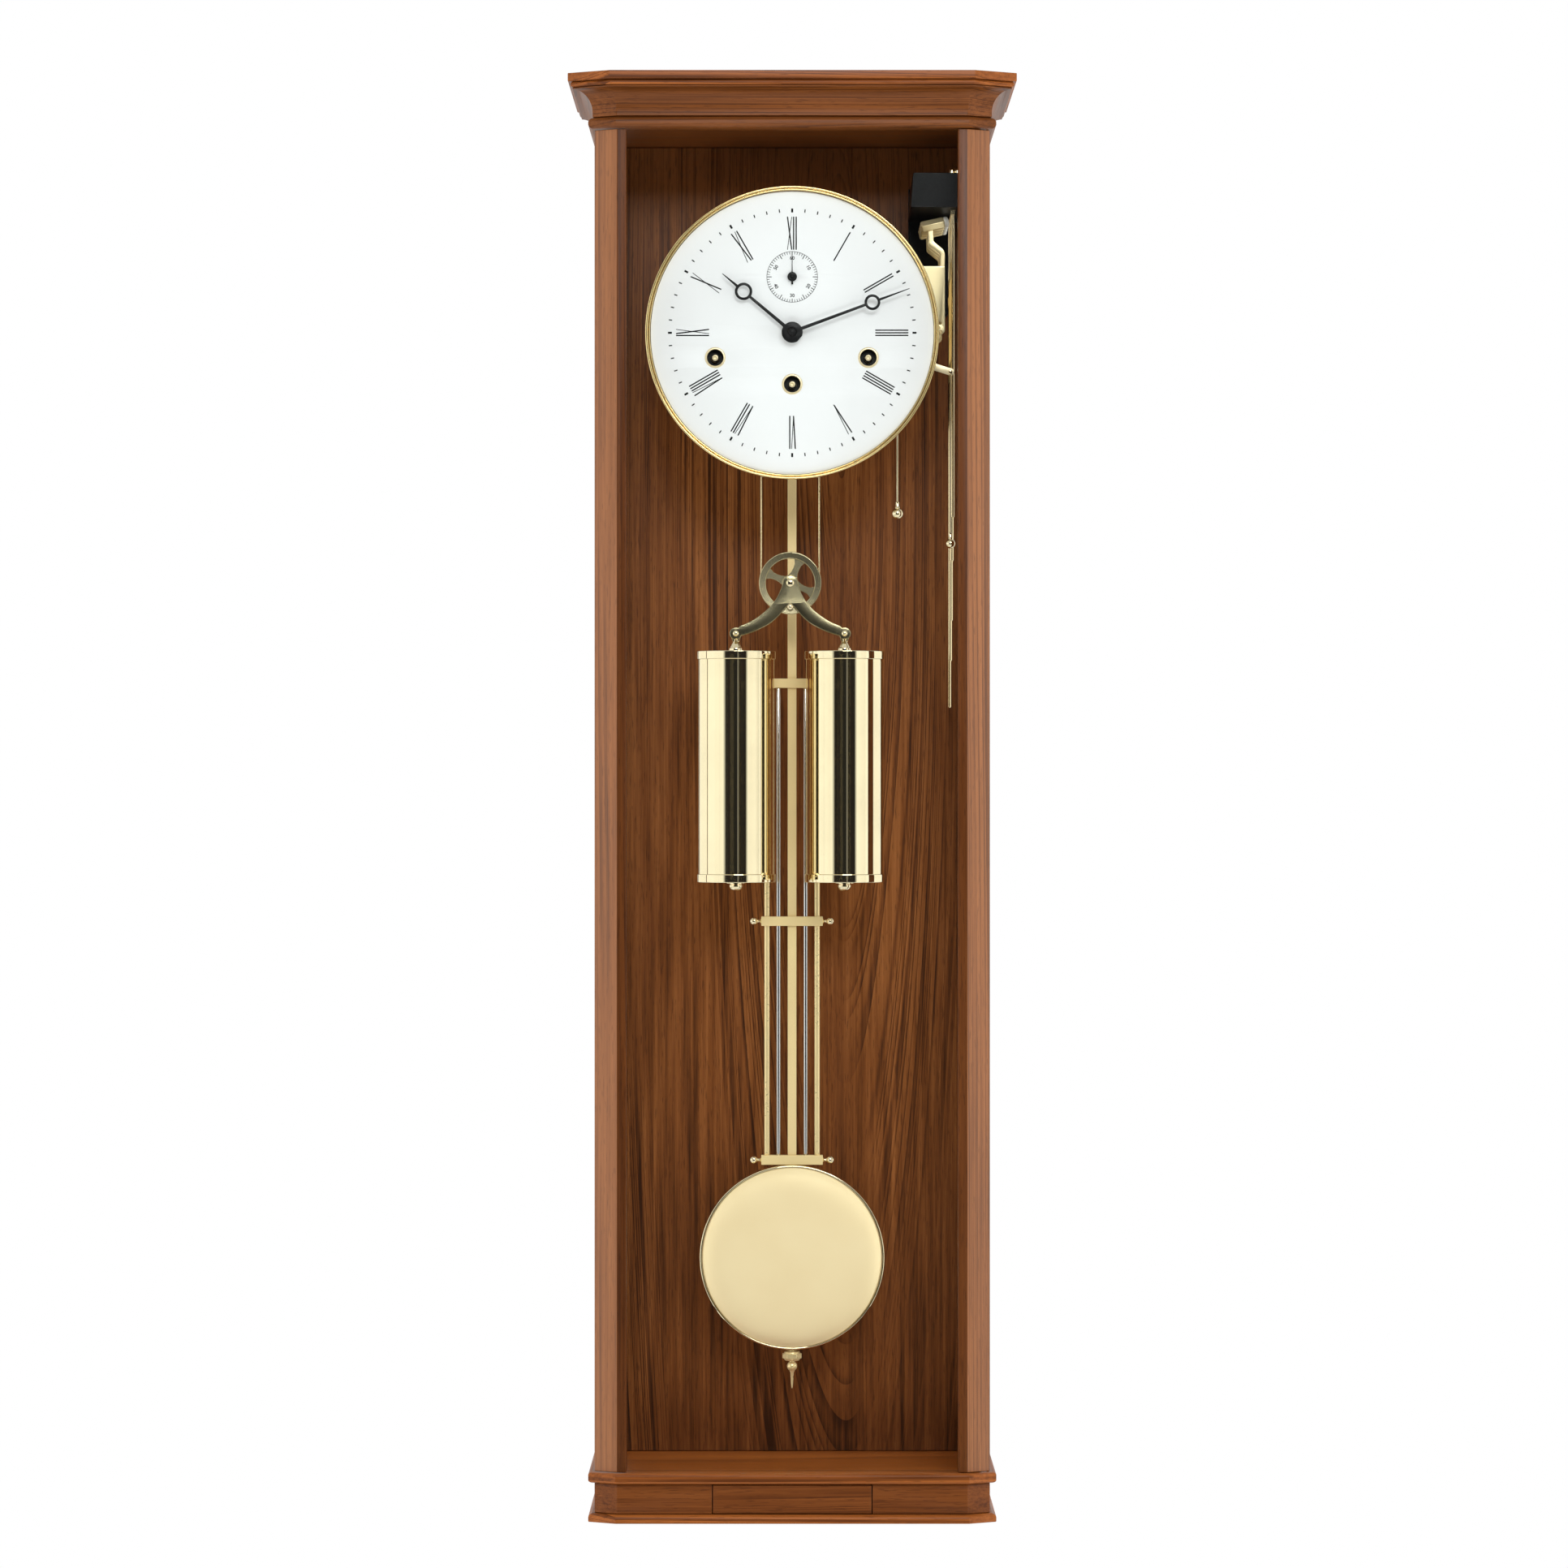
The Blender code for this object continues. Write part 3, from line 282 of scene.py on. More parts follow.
def year_rings(g, place, axis, pith, lean, spacing, wander):
    """Dark late wood of the growth rings: 0 in early wood, rising to 1 at each ring's outer edge."""
    split = g.split(place)
    across, through, along = (split[k] for k in GRAIN[axis])
    sway = g.times(g.math("SUBTRACT", wander, 0.5), 0.045)
    a = g.plus(g.math("SUBTRACT", across, pith[0]), sway)
    b = g.plus(g.plus(through, pith[1]), g.times(along, lean))
    reach = g.distance(a, b)
    seasons = g.line_noise(g.times(reach, 90.0), 2.0)
    phase = g.plus(g.math("DIVIDE", reach, spacing), g.times(seasons, 7.0))
    return g.math("POWER", g.math("FRACT", phase), 2.5)


@material
def walnut(g, here, axis, tone="case", shift=0.0, pith=(0.21, 0.16), lean=0.02, spacing=0.0045):
    """Satin-lacquered walnut: growth rings round a pith, streaks, hair-fine grain and short dark pores."""
    def stretched(share):
        """Coordinates drawn out along the grain."""
        scale = tuple(share if letter == axis else 1.0 for letter in "XYZ")
        moved = (shift, shift * 0.7, shift * 1.3)
        return g.add("ShaderNodeMapping", {"Vector": here, "Location": moved, "Scale": scale}).outputs[0]

    wide = stretched(0.10)
    rings = year_rings(g, here, axis, pith, lean, spacing, g.noise(wide, 7.0))
    patches = g.noise(wide, 18.0)
    streaks = g.noise(stretched(0.045), 120.0, 5.0, 0.6)
    hairs = g.noise(stretched(0.014), 620.0, 2.0, 0.6)
    pores = g.span(g.noise(stretched(0.07), 1300.0, 1.0), 0.60, 0.70)
    tint = g.plus(g.times(streaks, 0.52), g.times(patches, 0.36))
    tint = g.plus(tint, g.times(hairs, 0.36))
    tint = g.math("SUBTRACT", tint, g.times(rings, g.span(patches, 0.38, 0.62, 0.02, 0.32)))
    # Painted light and shade on the panel: the tint is raised just under the head board, where its shadow
    # falls, and lowered towards the foot as painted shade.
    if tone == "panel":  # paler at the top, darker towards the foot
        height = g.split(here)[2]
        tint = g.plus(tint, g.span(height, up(915.0), up(970.0), 0.0, 0.16))
        tint = g.plus(tint, g.span(height, up(80.0), up(400.0), -0.05, 0.0))
    dark, body, light = WALNUT_TONES[tone]
    colour = g.ramp(tint, (0.38, dark), (0.55, body), (0.73, light))
    colour = g.mix(g.times(pores, 0.50), colour, dark)
    sheen = g.span(streaks, 0.3, 0.7, 0.30, 0.40)
    relief = g.math("SUBTRACT", g.times(hairs, 0.4), pores)
    lacquer = 0.60 if tone == "cant" else 0.20
    return g.surface(colour, sheen, relief, 0.00005, 0.3, [("Specular IOR Level", lacquer)])


@material
def metal(g, here, colour, rough, spread, scale, stretch=(1.0, 1.0, 1.0), relief=0.00001, metallic=1.0):
    """A metal whose tint, gloss and surface vary with a fine pattern; stretch lays it along a brushing."""
    brushed = g.add("ShaderNodeMapping", {"Vector": here, "Scale": stretch}).outputs[0]
    fine = g.noise(brushed, scale, 3.0)
    cloud = g.noise(here, 24.0, 3.0)
    tint = g.ramp(cloud, (0.35, tuple(c * 0.94 for c in colour)), (0.62, colour))
    both = g.plus(g.times(fine, 0.6), g.times(cloud, 0.4))
    gloss = g.span(both, 0.3, 0.7, max(0.02, rough - spread), rough + spread)
    return g.surface(tint, gloss, fine, relief, 0.5, [("Metallic", metallic)])


@material
def paint(g, here, colour, rough, scale=900.0, relief=0.00001, speck=0.04, gleam=0.5):
    """An enamel or lacquer with a faint orange-peel."""
    fine = g.noise(here, scale, 3.0)
    tint = g.ramp(g.noise(here, 18.0), (0.3, tuple(c * (1.0 - speck) for c in colour)), (0.7, colour))
    gloss = g.span(fine, 0.3, 0.7, rough - 0.04, rough + 0.04)
    return g.surface(tint, gloss, fine, relief, 0.5, [("Specular IOR Level", gleam)])


@material
def sand_casting(g, here):
    """Black enamelled cast iron, pitted like sand."""
    grit = g.noise(here, 420.0, 5.0, 0.7)
    pits = g.add("ShaderNodeTexVoronoi", {"Vector": here, "Scale": 260.0}).outputs["Distance"]
    tint = g.ramp(grit, (0.35, (0.002, 0.002, 0.0022)), (0.70, (0.007, 0.007, 0.0075)))
    height = g.plus(grit, g.times(g.span(pits, 0.0, 0.25), 0.6))
    gloss = g.span(grit, 0.3, 0.7, 0.28, 0.38)
    return g.surface(tint, gloss, height, 0.0001, 0.6, [("Specular IOR Level", 0.12)])


@material
def clear_glass(g, here):
    """Thin polished glass: it lets everything through and mirrors a little."""
    ripple = g.noise(here, 6.0, 1.0)
    bump = g.add("ShaderNodeBump", {"Height": ripple, "Distance": 0.00005, "Strength": 0.1}).outputs[0]
    through = g.add("ShaderNodeBsdfTransparent", {0: (0.975, 0.985, 0.98)})
    gloss = g.add("ShaderNodeBsdfGlossy", {"Color": (1.0, 1.0, 1.0), "Roughness": 0.02, "Normal": bump})
    facing = g.add("ShaderNodeLayerWeight", {"Blend": 0.5}).outputs["Facing"]
    share = g.plus(g.times(g.math("POWER", facing, 5.0), 0.55), 0.018)
    return g.add("ShaderNodeMixShader", {0: share, 1: through.outputs[0], 2: gloss.outputs[0]})


@material
def spun_metal(g, here, centre):
    """Pale satin brass with very fine turning lines."""
    x, _, z = g.split(g.add("ShaderNodeMapping", {"Vector": here, "Location": centre}).outputs[0])
    lines = g.line_noise(g.times(g.distance(x, z), 3200.0), 3.0)
    cloud = g.noise(here, 30.0, 3.0)
    tint = g.ramp(cloud, (0.3, (0.92, 0.750, 0.440)), (0.7, (0.96, 0.795, 0.480)))
    gloss = g.span(lines, 0.3, 0.7, 0.54, 0.64)
    return g.surface(tint, gloss, lines, 0.000006, 0.4, [("Metallic", 0.22)])


def soft_brass(name, colour, rough, scale, relief, metallic):
    """A brass with no direction to its finish."""
    return metal(name, colour, rough, 0.05, scale, relief=relief, metallic=metallic)


ALONG_Z = (1.0, 1.0, 0.04)
ALONG_X = (0.04, 1.0, 1.0)
POLISHED = metal("brass_polished", (0.95, 0.82, 0.55), 0.05, 0.006, 60.0, relief=0.0000004)
GILT = metal("brass_bezel", (0.90, 0.69, 0.33), 0.14, 0.02, 200.0, relief=0.0000005)
BRONZE = metal("brass_yoke", (0.46, 0.40, 0.24), 0.22, 0.01, 500.0, relief=0.0000005)
PULLEY_BRASS = metal("brass_pulley", (0.60, 0.52, 0.32), 0.25, 0.01, 300.0, relief=0.0000005)
TURNED = soft_brass("brass_turned", (0.92, 0.73, 0.38), 0.30, 500.0, 0.000002, 0.55)
HAMMER_BRASS = soft_brass("brass_hammers", (0.90, 0.75, 0.44), 0.36, 500.0, 0.00001, 0.85)
BRACKET_BRASS = metal("brass_bracket", (0.66, 0.56, 0.33), 0.38, 0.10, 120.0, metallic=0.85)
BAR_BRASS = metal("brass_brushed", (0.86, 0.665, 0.335), 0.48, 0.06, 700.0, ALONG_Z, metallic=0.30)
CROSS_BRASS = metal("brass_cross_bars", (0.91, 0.705, 0.355), 0.50, 0.06, 700.0, ALONG_X, metallic=0.42)
SATIN = metal("brass_satin", (0.93, 0.80, 0.53), 0.42, 0.05, 1200.0, (0.06, 1.0, 1.0), 0.000008)
NICKEL = metal("nickel", (0.72, 0.72, 0.735), 0.11, 0.03, 800.0, (1.0, 1.0, 0.05), 0.000002)
ROD_BRONZE = metal("bronze_rods", (0.88, 0.72, 0.44), 0.12, 0.03, 400.0, (1.0, 1.0, 0.05))
STRANDS = metal("cable_strands", (0.90, 0.72, 0.42), 0.28, 0.08, 2600.0, (1.0, 1.0, 0.25), 0.00008)
BLACK = paint("black_lacquer", (0.003, 0.003, 0.0035), 0.40, 1400.0, 0.000006, gleam=0.25)
INK = paint("dial_ink", (0.004, 0.004, 0.005), 0.50, gleam=0.2)
ENAMEL = paint("dial_enamel", (0.86, 0.872, 0.89), 0.50, 1600.0, 0.000004, 0.015, 0.3)
NYLON = paint("nylon_tip", (0.62, 0.60, 0.55), 0.35)
CASTING = sand_casting("iron_casting")


# ---- shapes

def new_piece(name, shape, body, materials, replaced=(), angle=SMOOTH_ANGLE):
    """Links a mesh, or the mesh of a bmesh, as a piece that rides on a body in place of CAD nodes."""
    mesh = mesh_of(name, shape) if isinstance(shape, bmesh.types.BMesh) else shape
    thing = bpy.data.objects.new(name, mesh)
    bpy.context.scene.collection.objects.link(thing)
    for surface in materials:
        mesh.materials.append(surface)
    mesh.shade_smooth()
    mesh.set_sharp_from_angle(angle=angle)
    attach(thing, body)
    if replaced:
        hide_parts(*replaced)
    return thing


def soften(thing, width, segments=2, angle=25.0):
    """Rounds the sharp edges."""
    bevel = thing.modifiers.new("edges", "BEVEL")
    bevel.width = width * MM
    bevel.segments = segments
    bevel.limit_method = "ANGLE"
    bevel.angle_limit = math.radians(angle)


def world_point(axis, a, b, t):
    """Millimetres (height above the foot for Z) to metres; t is along the axis, a and b the other two."""
    x, y, h = {"X": (t, a, b), "Y": (a, t, b), "Z": (a, b, t)}[axis]
    return Vector((x * MM, y * MM, up(h)))


def finish_faces(shape, faces, index):
    """Turns new faces outwards and gives them a material."""
    bmesh.ops.recalc_face_normals(shape, faces=faces)
    for face in faces:
        face.material_index = index


def add_prism(shape, outline, axis, low, high, index=0):
    """Adds a closed outline carried along an axis."""
    rings = [[shape.verts.new(world_point(axis, a, b, t)) for a, b in outline] for t in (low, high)]
    count = len(outline)
    faces = [shape.faces.new(rings[0]), shape.faces.new(rings[1])]
    for i in range(count):
        j = (i + 1) % count
        faces.append(shape.faces.new((rings[0][i], rings[0][j], rings[1][j], rings[1][i])))
    finish_faces(shape, faces, index)


def add_box(shape, x, y, h, index=0):
    """Adds a block that spans (low, high) in x, y and height."""
    corners = [(x[0], y[0]), (x[1], y[0]), (x[1], y[1]), (x[0], y[1])]
    add_prism(shape, corners, "Z", h[0], h[1], index)


def add_turned(shape, profile, axis, centre, segments=64, ring=False, index=0, at=0.0):
    """Adds a profile of (radius, place along the axis, from at) turned about the axis through centre."""
    loops = []
    for radius, t in profile:
        loop = []
        for k in range(segments if radius > 0.0 else 1):
            a = 2 * math.pi * k / segments
            spot = (centre[0] + radius * math.cos(a), centre[1] + radius * math.sin(a))
            loop.append(shape.verts.new(world_point(axis, *spot, at + t)))
        loops.append(loop)
    pairs = list(zip(loops, loops[1:]))
    if ring:
        pairs.append((loops[-1], loops[0]))
    faces = []
    for first, second in pairs:
        for k in range(segments):
            n = (k + 1) % segments
            if len(first) == 1:
                corners = (first[0], second[n], second[k])
            elif len(second) == 1:
                corners = (first[k], first[n], second[0])
            else:
                corners = (first[k], first[n], second[n], second[k])
            faces.append(shape.faces.new(corners))
    if not ring:
        faces += [shape.faces.new(loop) for loop in (loops[0], loops[-1]) if len(loop) > 1]
    finish_faces(shape, faces, index)


def rounded(points, radius, steps=4, closed=False):
    """An outline with its corners rounded off."""
    count = len(points)
    made = []
    for i, point in enumerate(points):
        if not closed and i in (0, count - 1):
            made.append(point)
            continue
        here = Vector(point)
        back = Vector(points[i - 1]) - here
        on = Vector(points[(i + 1) % count]) - here
        reach = min(radius, back.length * 0.45, on.length * 0.45)
        start = here + back.normalized() * reach
        end = here + on.normalized() * reach
        for k in range(steps + 1):
            t = k / steps
            spot = start * (1 - t) ** 2 + here * (2 * t * (1 - t)) + end * t * t
            made.append((spot.x, spot.y))
    return made


def arc(centre, radius, start, end, count):
    """Points on an arc, by angle in degrees."""
    points = []
    for k in range(count + 1):
        a = math.radians(start + (end - start) * k / count)
        points.append((centre[0] + radius * math.cos(a), centre[1] + radius * math.sin(a)))
    return points


def circle(centre, radius, count=32):
    return arc(centre, radius, 0.0, 360.0 * (count - 1) / count, count - 1)


def mirrored(side, skip=0):
    """An outline closed by its own mirror image in x; skip leaves out points on the middle line."""
    return side + [(-x, y) for x, y in reversed(side[skip:])]


def turned_about(points, angle, centre):
    """Points turned clockwise by an angle in degrees, then moved to centre."""
    a = math.radians(angle)
    moved = []
    for x, h in points:
        spot = (centre[0] + x * math.cos(a) + h * math.sin(a), centre[1] - x * math.sin(a) + h * math.cos(a))
        moved.append(spot)
    return moved


def mesh_of(name, shape):
    mesh = bpy.data.meshes.new(name)
    shape.to_mesh(mesh)
    shape.free()
    return mesh


def mesh_from(name, curve):
    """The mesh of a curve or of text, whose own data is then removed."""
    holder = bpy.data.objects.new(name, curve)
    bpy.context.scene.collection.objects.link(holder)
    bpy.context.view_layer.update()
    mesh = bpy.data.meshes.new_from_object(holder.evaluated_get(bpy.context.evaluated_depsgraph_get()))
    bpy.data.objects.remove(holder)
    bpy.data.curves.remove(curve)
    return mesh


def add_spline(curve, points):
    spline = curve.splines.new("POLY")
    spline.points.add(len(points) - 1)
    for spot, place in zip(spline.points, points):
        spot.co = (*place, 1.0)
    return spline


def clean(mesh, distance):
    """Joins the corners that meet and turns all faces outwards."""
    shape = bmesh.new()
    shape.from_mesh(mesh)
    bmesh.ops.remove_doubles(shape, verts=shape.verts, dist=distance)
    bmesh.ops.recalc_face_normals(shape, faces=shape.faces)
    shape.to_mesh(mesh)
    shape.free()
    mesh.materials.clear()
    return mesh


def plate_mesh(name, loops, front, rear, edge):
    """A plate facing the front, cut from closed loops of (x, height), holes included, its edges rounded."""
    curve = bpy.data.curves.new(name, "CURVE")
    curve.dimensions = "2D"
    curve.fill_mode = "BOTH"
    curve.extrude = ((rear - front) / 2 - edge) * MM
    curve.bevel_depth = edge * MM
    curve.bevel_resolution = 2
    curve.offset = -edge * MM
    for loop in loops:
        spline = add_spline(curve, [(x * MM, h * MM, 0.0) for x, h in loop])
        spline.use_cyclic_u = True
    mesh = mesh_from(name, curve)
    mesh.transform(Matrix(((1, 0, 0, 0), (0, 0, 1, (front + rear) / 2 * MM), (0, 1, 0, FOOT), (0, 0, 0, 1))))
    return clean(mesh, MERGE)


def tube_mesh(name, path, radius):
    """A round tube along a path in millimetres."""
    curve = bpy.data.curves.new(name, "CURVE")
    curve.dimensions = "3D"
    curve.bevel_depth = radius * MM
    curve.bevel_resolution = 3
    curve.use_fill_caps = True
    add_spline(curve, [(x * MM, y * MM, up(h)) for x, y, h in path])
    return clean(mesh_from(name, curve), MERGE / 2)


def turned_piece(name, profile, axis, centre, body, surface, nodes=(), segments=40, ring=False, at=0.0):
    """A piece that is one turned profile."""
    shape = bmesh.new()
    add_turned(shape, profile, axis, centre, segments, ring, 0, at)
    return new_piece(name, shape, body, [surface], nodes)


def restyle(node, surface):
    """A CAD node that keeps its shape gets a better material."""
    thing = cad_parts[node]
    thing.data.materials.clear()
    thing.data.materials.append(surface)


# ---- the case

HALF = extent("side_frame_right")[0][1]
FRONT = extent("door_stile_left")[1][0]
CANT_WIDTH = 16.4
CANT_DEPTH = 9
WIDEST = 4.5  # the beads stand no further out than this
BEAD = 3.2  # glazing bead, square section


def plan(over):
    """The case's outline from above, grown at the sides and the front, corners cut at a slant."""
    turn = math.atan2(CANT_DEPTH, CANT_WIDTH)
    side_y = FRONT + CANT_DEPTH - over * math.tan((math.pi / 2 - turn) / 2)
    front_x = HALF - CANT_WIDTH + over * math.tan(turn / 2)
    return mirrored([(HALF + over, 0), (HALF + over, side_y), (front_x, FRONT - over)])


def moulded(name, node, profile, inner=None, tone="case", shift=0, inside="floor"):
    """A board whose edge follows (overhang, height); inner then sinks its last face to (outline, heights)."""
    shape = bmesh.new()
    levels = [(plan(over), h) for over, h in profile]
    if inner:
        levels += [(inner[0], h) for h in inner[1]]
    rings = [[shape.verts.new((x * MM, y * MM, up(h))) for x, y in outline] for outline, h in levels]
    count = len(rings[0])
    for k, (low, high) in enumerate(zip(rings, rings[1:])):
        for i in range(count):
            j = (i + 1) % count
            face = shape.faces.new((low[i], low[j], high[j], high[i]))
            face.material_index = 2 if k >= len(profile) else int(i in (0, 4))
    shape.faces.new(rings[0])
    shape.faces.new(rings[-1]).material_index = 2 if inner else 0
    bmesh.ops.recalc_face_normals(shape, faces=shape.faces)
    grain = [walnut(f"walnut_x_{name}", "X", tone, shift), walnut(f"walnut_y_{name}", "Y", tone, shift)]
    if inner:
        grain.append(walnut(f"walnut_inside_{name}", "X", inside, shift + 1))
    piece = new_piece(name, shape, "case", grain, (node,), math.radians(20))
    soften(piece, 0.35, 2, 22)


def half_round(low, high, flat, centre, share, reach, last):
    """A rounded nose between two heights, held inside the case's widest line."""
    nose = arc((centre, (low + high) / 2), (high - low) / 2 * share, -reach, reach, 10)
    return [(min(over, WIDEST), h) for over, h in [(flat, low)] + nose + [(last, high)]]


def build_mouldings():
    low, high = heights("foot_board")
    foot = rounded([(2.6, low), (4.5, low), (4.5, high - 1.6), (1.6, high)], 1.6, 5)
    # The foot takes the lighter rim walnut, painted light.
    moulded("foot_moulding", "foot_board", foot, tone="rim", shift=1.3)

    low, high = heights("base_board")
    panel_x, panel_y, _ = extent("back_panel")
    side, wall = panel_x[1] + 0.5, panel_y[1] + 0.3
    front = extent("base_board")[1][0] + 22.7
    sunk = mirrored([(side, wall), (side, front + 4), (side - 4, front)])
    nose = half_round(low, high, 1, 1.4, 1, 78, 1)
    # The base bead takes the lighter rim walnut, painted light.
    moulded("base_moulding", "base_board", nose, (sunk, (high, high - 3.9)), "rim", 2.1)

    low, high = heights("head_board")
    bead = half_round(low, high, 0.6, 0.8, 0.95, 80, 0.4)[::-1]
    # The head board's underside inside the case takes the lighter rim walnut, painted light on a shaded
    # ceiling.
    moulded("head_moulding", "head_board", bead, (sunk, (low, low + 4.9)), "case", 3.7, "rim")

    low, high = heights("cornice_cove")
    cove = [(0.6, low), (1.4, low + 0.3), (1.4, low + 3.3)]
    for k in range(1, 15):
        a = math.pi / 28 * k
        cove.append((15.4 - 14 * math.cos(a), low + 3.3 + 16 * math.sin(a)))
    moulded("cornice_cove_moulding", "cornice_cove", cove + [(15.5, high)], shift=4.9)

    low, high = heights("cornice_cap")
    cap = [(14.6, low)] + arc((15, low + 1.9), 1.9, -80, 80, 7) + [(15.2, low + 3.9)]
    cap += rounded([(15.2, low + 3.9), (18.8, low + 4), (18.8, high), (17.4, high)], 0.7, 4)[1:]
    # The cap takes the lighter rim walnut, painted light.
    moulded("cornice_cap_moulding", "cornice_cap", cap, tone="rim", shift=6.1)


def build_plinth():
    """Plinth blocks either side of the drawer, the rail behind it, and the flush drawer front."""
    face = extent("drawer_front")
    low, high = heights("plinth")
    opening = face[0][1] + 0.6
    rear = extent("drawer_tray")[1][1] + 4
    shape = bmesh.new()
    right = [(opening, 0), *plan(0)[:3], (opening, FRONT)]
    for sign in (1, -1):
        add_prism(shape, [(sign * x, y) for x, y in right], "Z", low, high)
    add_box(shape, (-opening + 0.1, opening - 0.1), (rear, 0), (low, high))
    wood = walnut("walnut_plinth", "X", "flat", 7.7)
    soften(new_piece("plinth_blocks", shape, "case", [wood], ("plinth",)), 0.4)
    shape = bmesh.new()
    add_box(shape, *face)
    wood = walnut("walnut_drawer", "X", "flat", 9.2)
    soften(new_piece("drawer_face", shape, "drawer", [wood], ("drawer_front",)), 0.6, 3)


def build_panel():
    """Veneered back panel, its figure upright."""
    shape = bmesh.new()
    add_box(shape, *extent("back_panel"))
    veneer = walnut("walnut_panel", "Z", "panel", 0.37, (0.035, 0.030), 0.10, 0.0040)
    soften(new_piece("back_veneer", shape, "case", [veneer], ("back_panel",)), 0.5)


def build_side(side, sign):
    """One side frame: two stiles, two rails, and the beads that hold its pane."""
    x, y, h = extent(f"side_frame_{side}")
    glass_x, glass_y, glass_h = extent(f"side_glass_{side}")
    gy0, gy1 = glass_y[0] - 0.3, glass_y[1] + 0.3
    gh0, gh1 = glass_h[0] - 0.3, glass_h[1] + 0.3
    shape = bmesh.new()
    add_box(shape, x, (y[0], gy0), h)
    add_box(shape, x, (gy1, y[1]), h)
    for rail in ((h[0], gh0), (gh1, h[1])):
        add_box(shape, x, (gy0 + 0.02, gy1 - 0.02), rail, 1)
    woods = [walnut(f"walnut_side_z_{side}", "Z", "case", 11 + sign)]
    woods.append(walnut(f"walnut_side_y_{side}", "Y", "case", 12))
    piece = new_piece(f"side_{side}_wood", shape, "case", woods, (f"side_frame_{side}",))
    piece.visible_glossy = sign > 0
    soften(piece, 0.5)
    shape = bmesh.new()
    for span in ((x[0] + 0.6, glass_x[0] - 0.1), (glass_x[1] + 0.1, x[1] - 0.6)):
        for upright in ((gy0, gy0 + BEAD), (gy1 - BEAD, gy1)):
            add_box(shape, span, upright, (gh0 + BEAD, gh1 - BEAD))
        for level in ((gh0, gh0 + BEAD - 0.02), (gh1 - BEAD + 0.02, gh1)):
            add_box(shape, span, (gy0, gy1), level, 1)
    soften(new_piece(f"side_{side}_beads", shape, "case", woods), 1, 3)


def build_door():
    """The two slanted stiles, each one length of walnut with its grain upright, and the glass."""
    stile_x, stile_y, (low, high) = extent("door_stile_left")
    glass_x, glass_y, _ = extent("door_glass")
    inner, rear = -stile_x[1], stile_y[1]
    reach = glass_x[1] + 0.3
    slot_front, slot_rear = glass_y[0] - 0.3, glass_y[1] + 0.3
    right = [(inner, rear), (HALF, rear), *plan(0)[1:3], (inner, FRONT)]
    right += [(inner, slot_front), (reach, slot_front), (reach, slot_rear), (inner, slot_rear)]
    for side, sign in (("left", -1), ("right", 1)):
        shape = bmesh.new()
        add_prism(shape, [(sign * x, y) for x, y in right], "Z", low, high)
        for face in shape.faces:
            face.material_index = int(abs(face.normal.x) > 0.3 and face.normal.y < -0.3)
        # The stile's front faces take a darker walnut, painted shade.
        woods = [walnut(f"walnut_stile_{side}", "Z", "strip", 14 + 3 * sign)]
        # Its slanted faces take a lighter walnut, painted light.
        woods.append(walnut(f"walnut_cant_{side}", "Z", "cant", 24 + 3 * sign))
        piece = new_piece(f"stile_{side}", shape, "door", woods, (f"door_stile_{side}",))
        piece.visible_glossy = False
        soften(piece, 0.5, 3)
    for node in ("door_glass", "side_glass_left", "side_glass_right"):
        restyle(node, clear_glass("float_glass"))


# ---- dial and hands

DIAL_X, _, DIAL_H = middle("dial_plate")
DIAL_FRONT, DIAL_REAR = extent("dial_plate")[1]
DIAL_RADIUS = 102
SECONDS_UP = 40.3
KEYHOLES = ((-55.5, -17.9), (54.9, -17.9), (0, -37))
INK_THICKNESS = 0.06
THICK_STROKE = 0.92
THIN_STROKE = 0.50
GLYPHS = {"I": 1.87, "V": 3.5, "X": 3.9}
HOURS = ("XII", "I", "II", "III", "IIII", "V", "VI", "VII", "VIII", "IX", "X", "XI")
NUMERAL_SPAN = (59.9, 83.7)


def dial_place(points, angle=0, centre=(0, 0)):
    """Dial points turned clockwise about the dial's centre."""
    return [(x + DIAL_X, h + DIAL_H) for x, h in turned_about(points, angle, centre)]


SECONDS_SPOT = dial_place([(0, SECONDS_UP)])[0]


def ink(shape, outline):
    """One printed stroke, as a film on the dial."""
    add_prism(shape, outline, "Y", DIAL_FRONT - INK_THICKNESS, DIAL_FRONT + 0.01)


def bar(half, low, high, foot=0, head=0):
    """A bar of constant width, slanted when its head stands off its foot."""
    return [(foot - half, low), (foot + half, low), (head + half, high), (head - half, high)]


def numeral(shape, text, angle):
    """A tall Roman numeral whose feet point at the centre."""
    at = -sum(GLYPHS[letter] for letter in text) / 2
    for letter in text:
        centre = at + GLYPHS[letter] / 2
        lean = GLYPHS[letter] / 2 - 0.42
        strokes = {
            "I": [(0, 0, THICK_STROKE)],
            "V": [(0, -lean, THICK_STROKE), (0, lean, THIN_STROKE)],
            "X": [(lean, -lean, THICK_STROKE), (-lean, lean, THIN_STROKE)],
        }[letter]
        for foot, head, thick in strokes:
            ink(shape, dial_place(bar(thick / 2, *NUMERAL_SPAN, centre + foot, centre + head), angle))
        at += GLYPHS[letter]


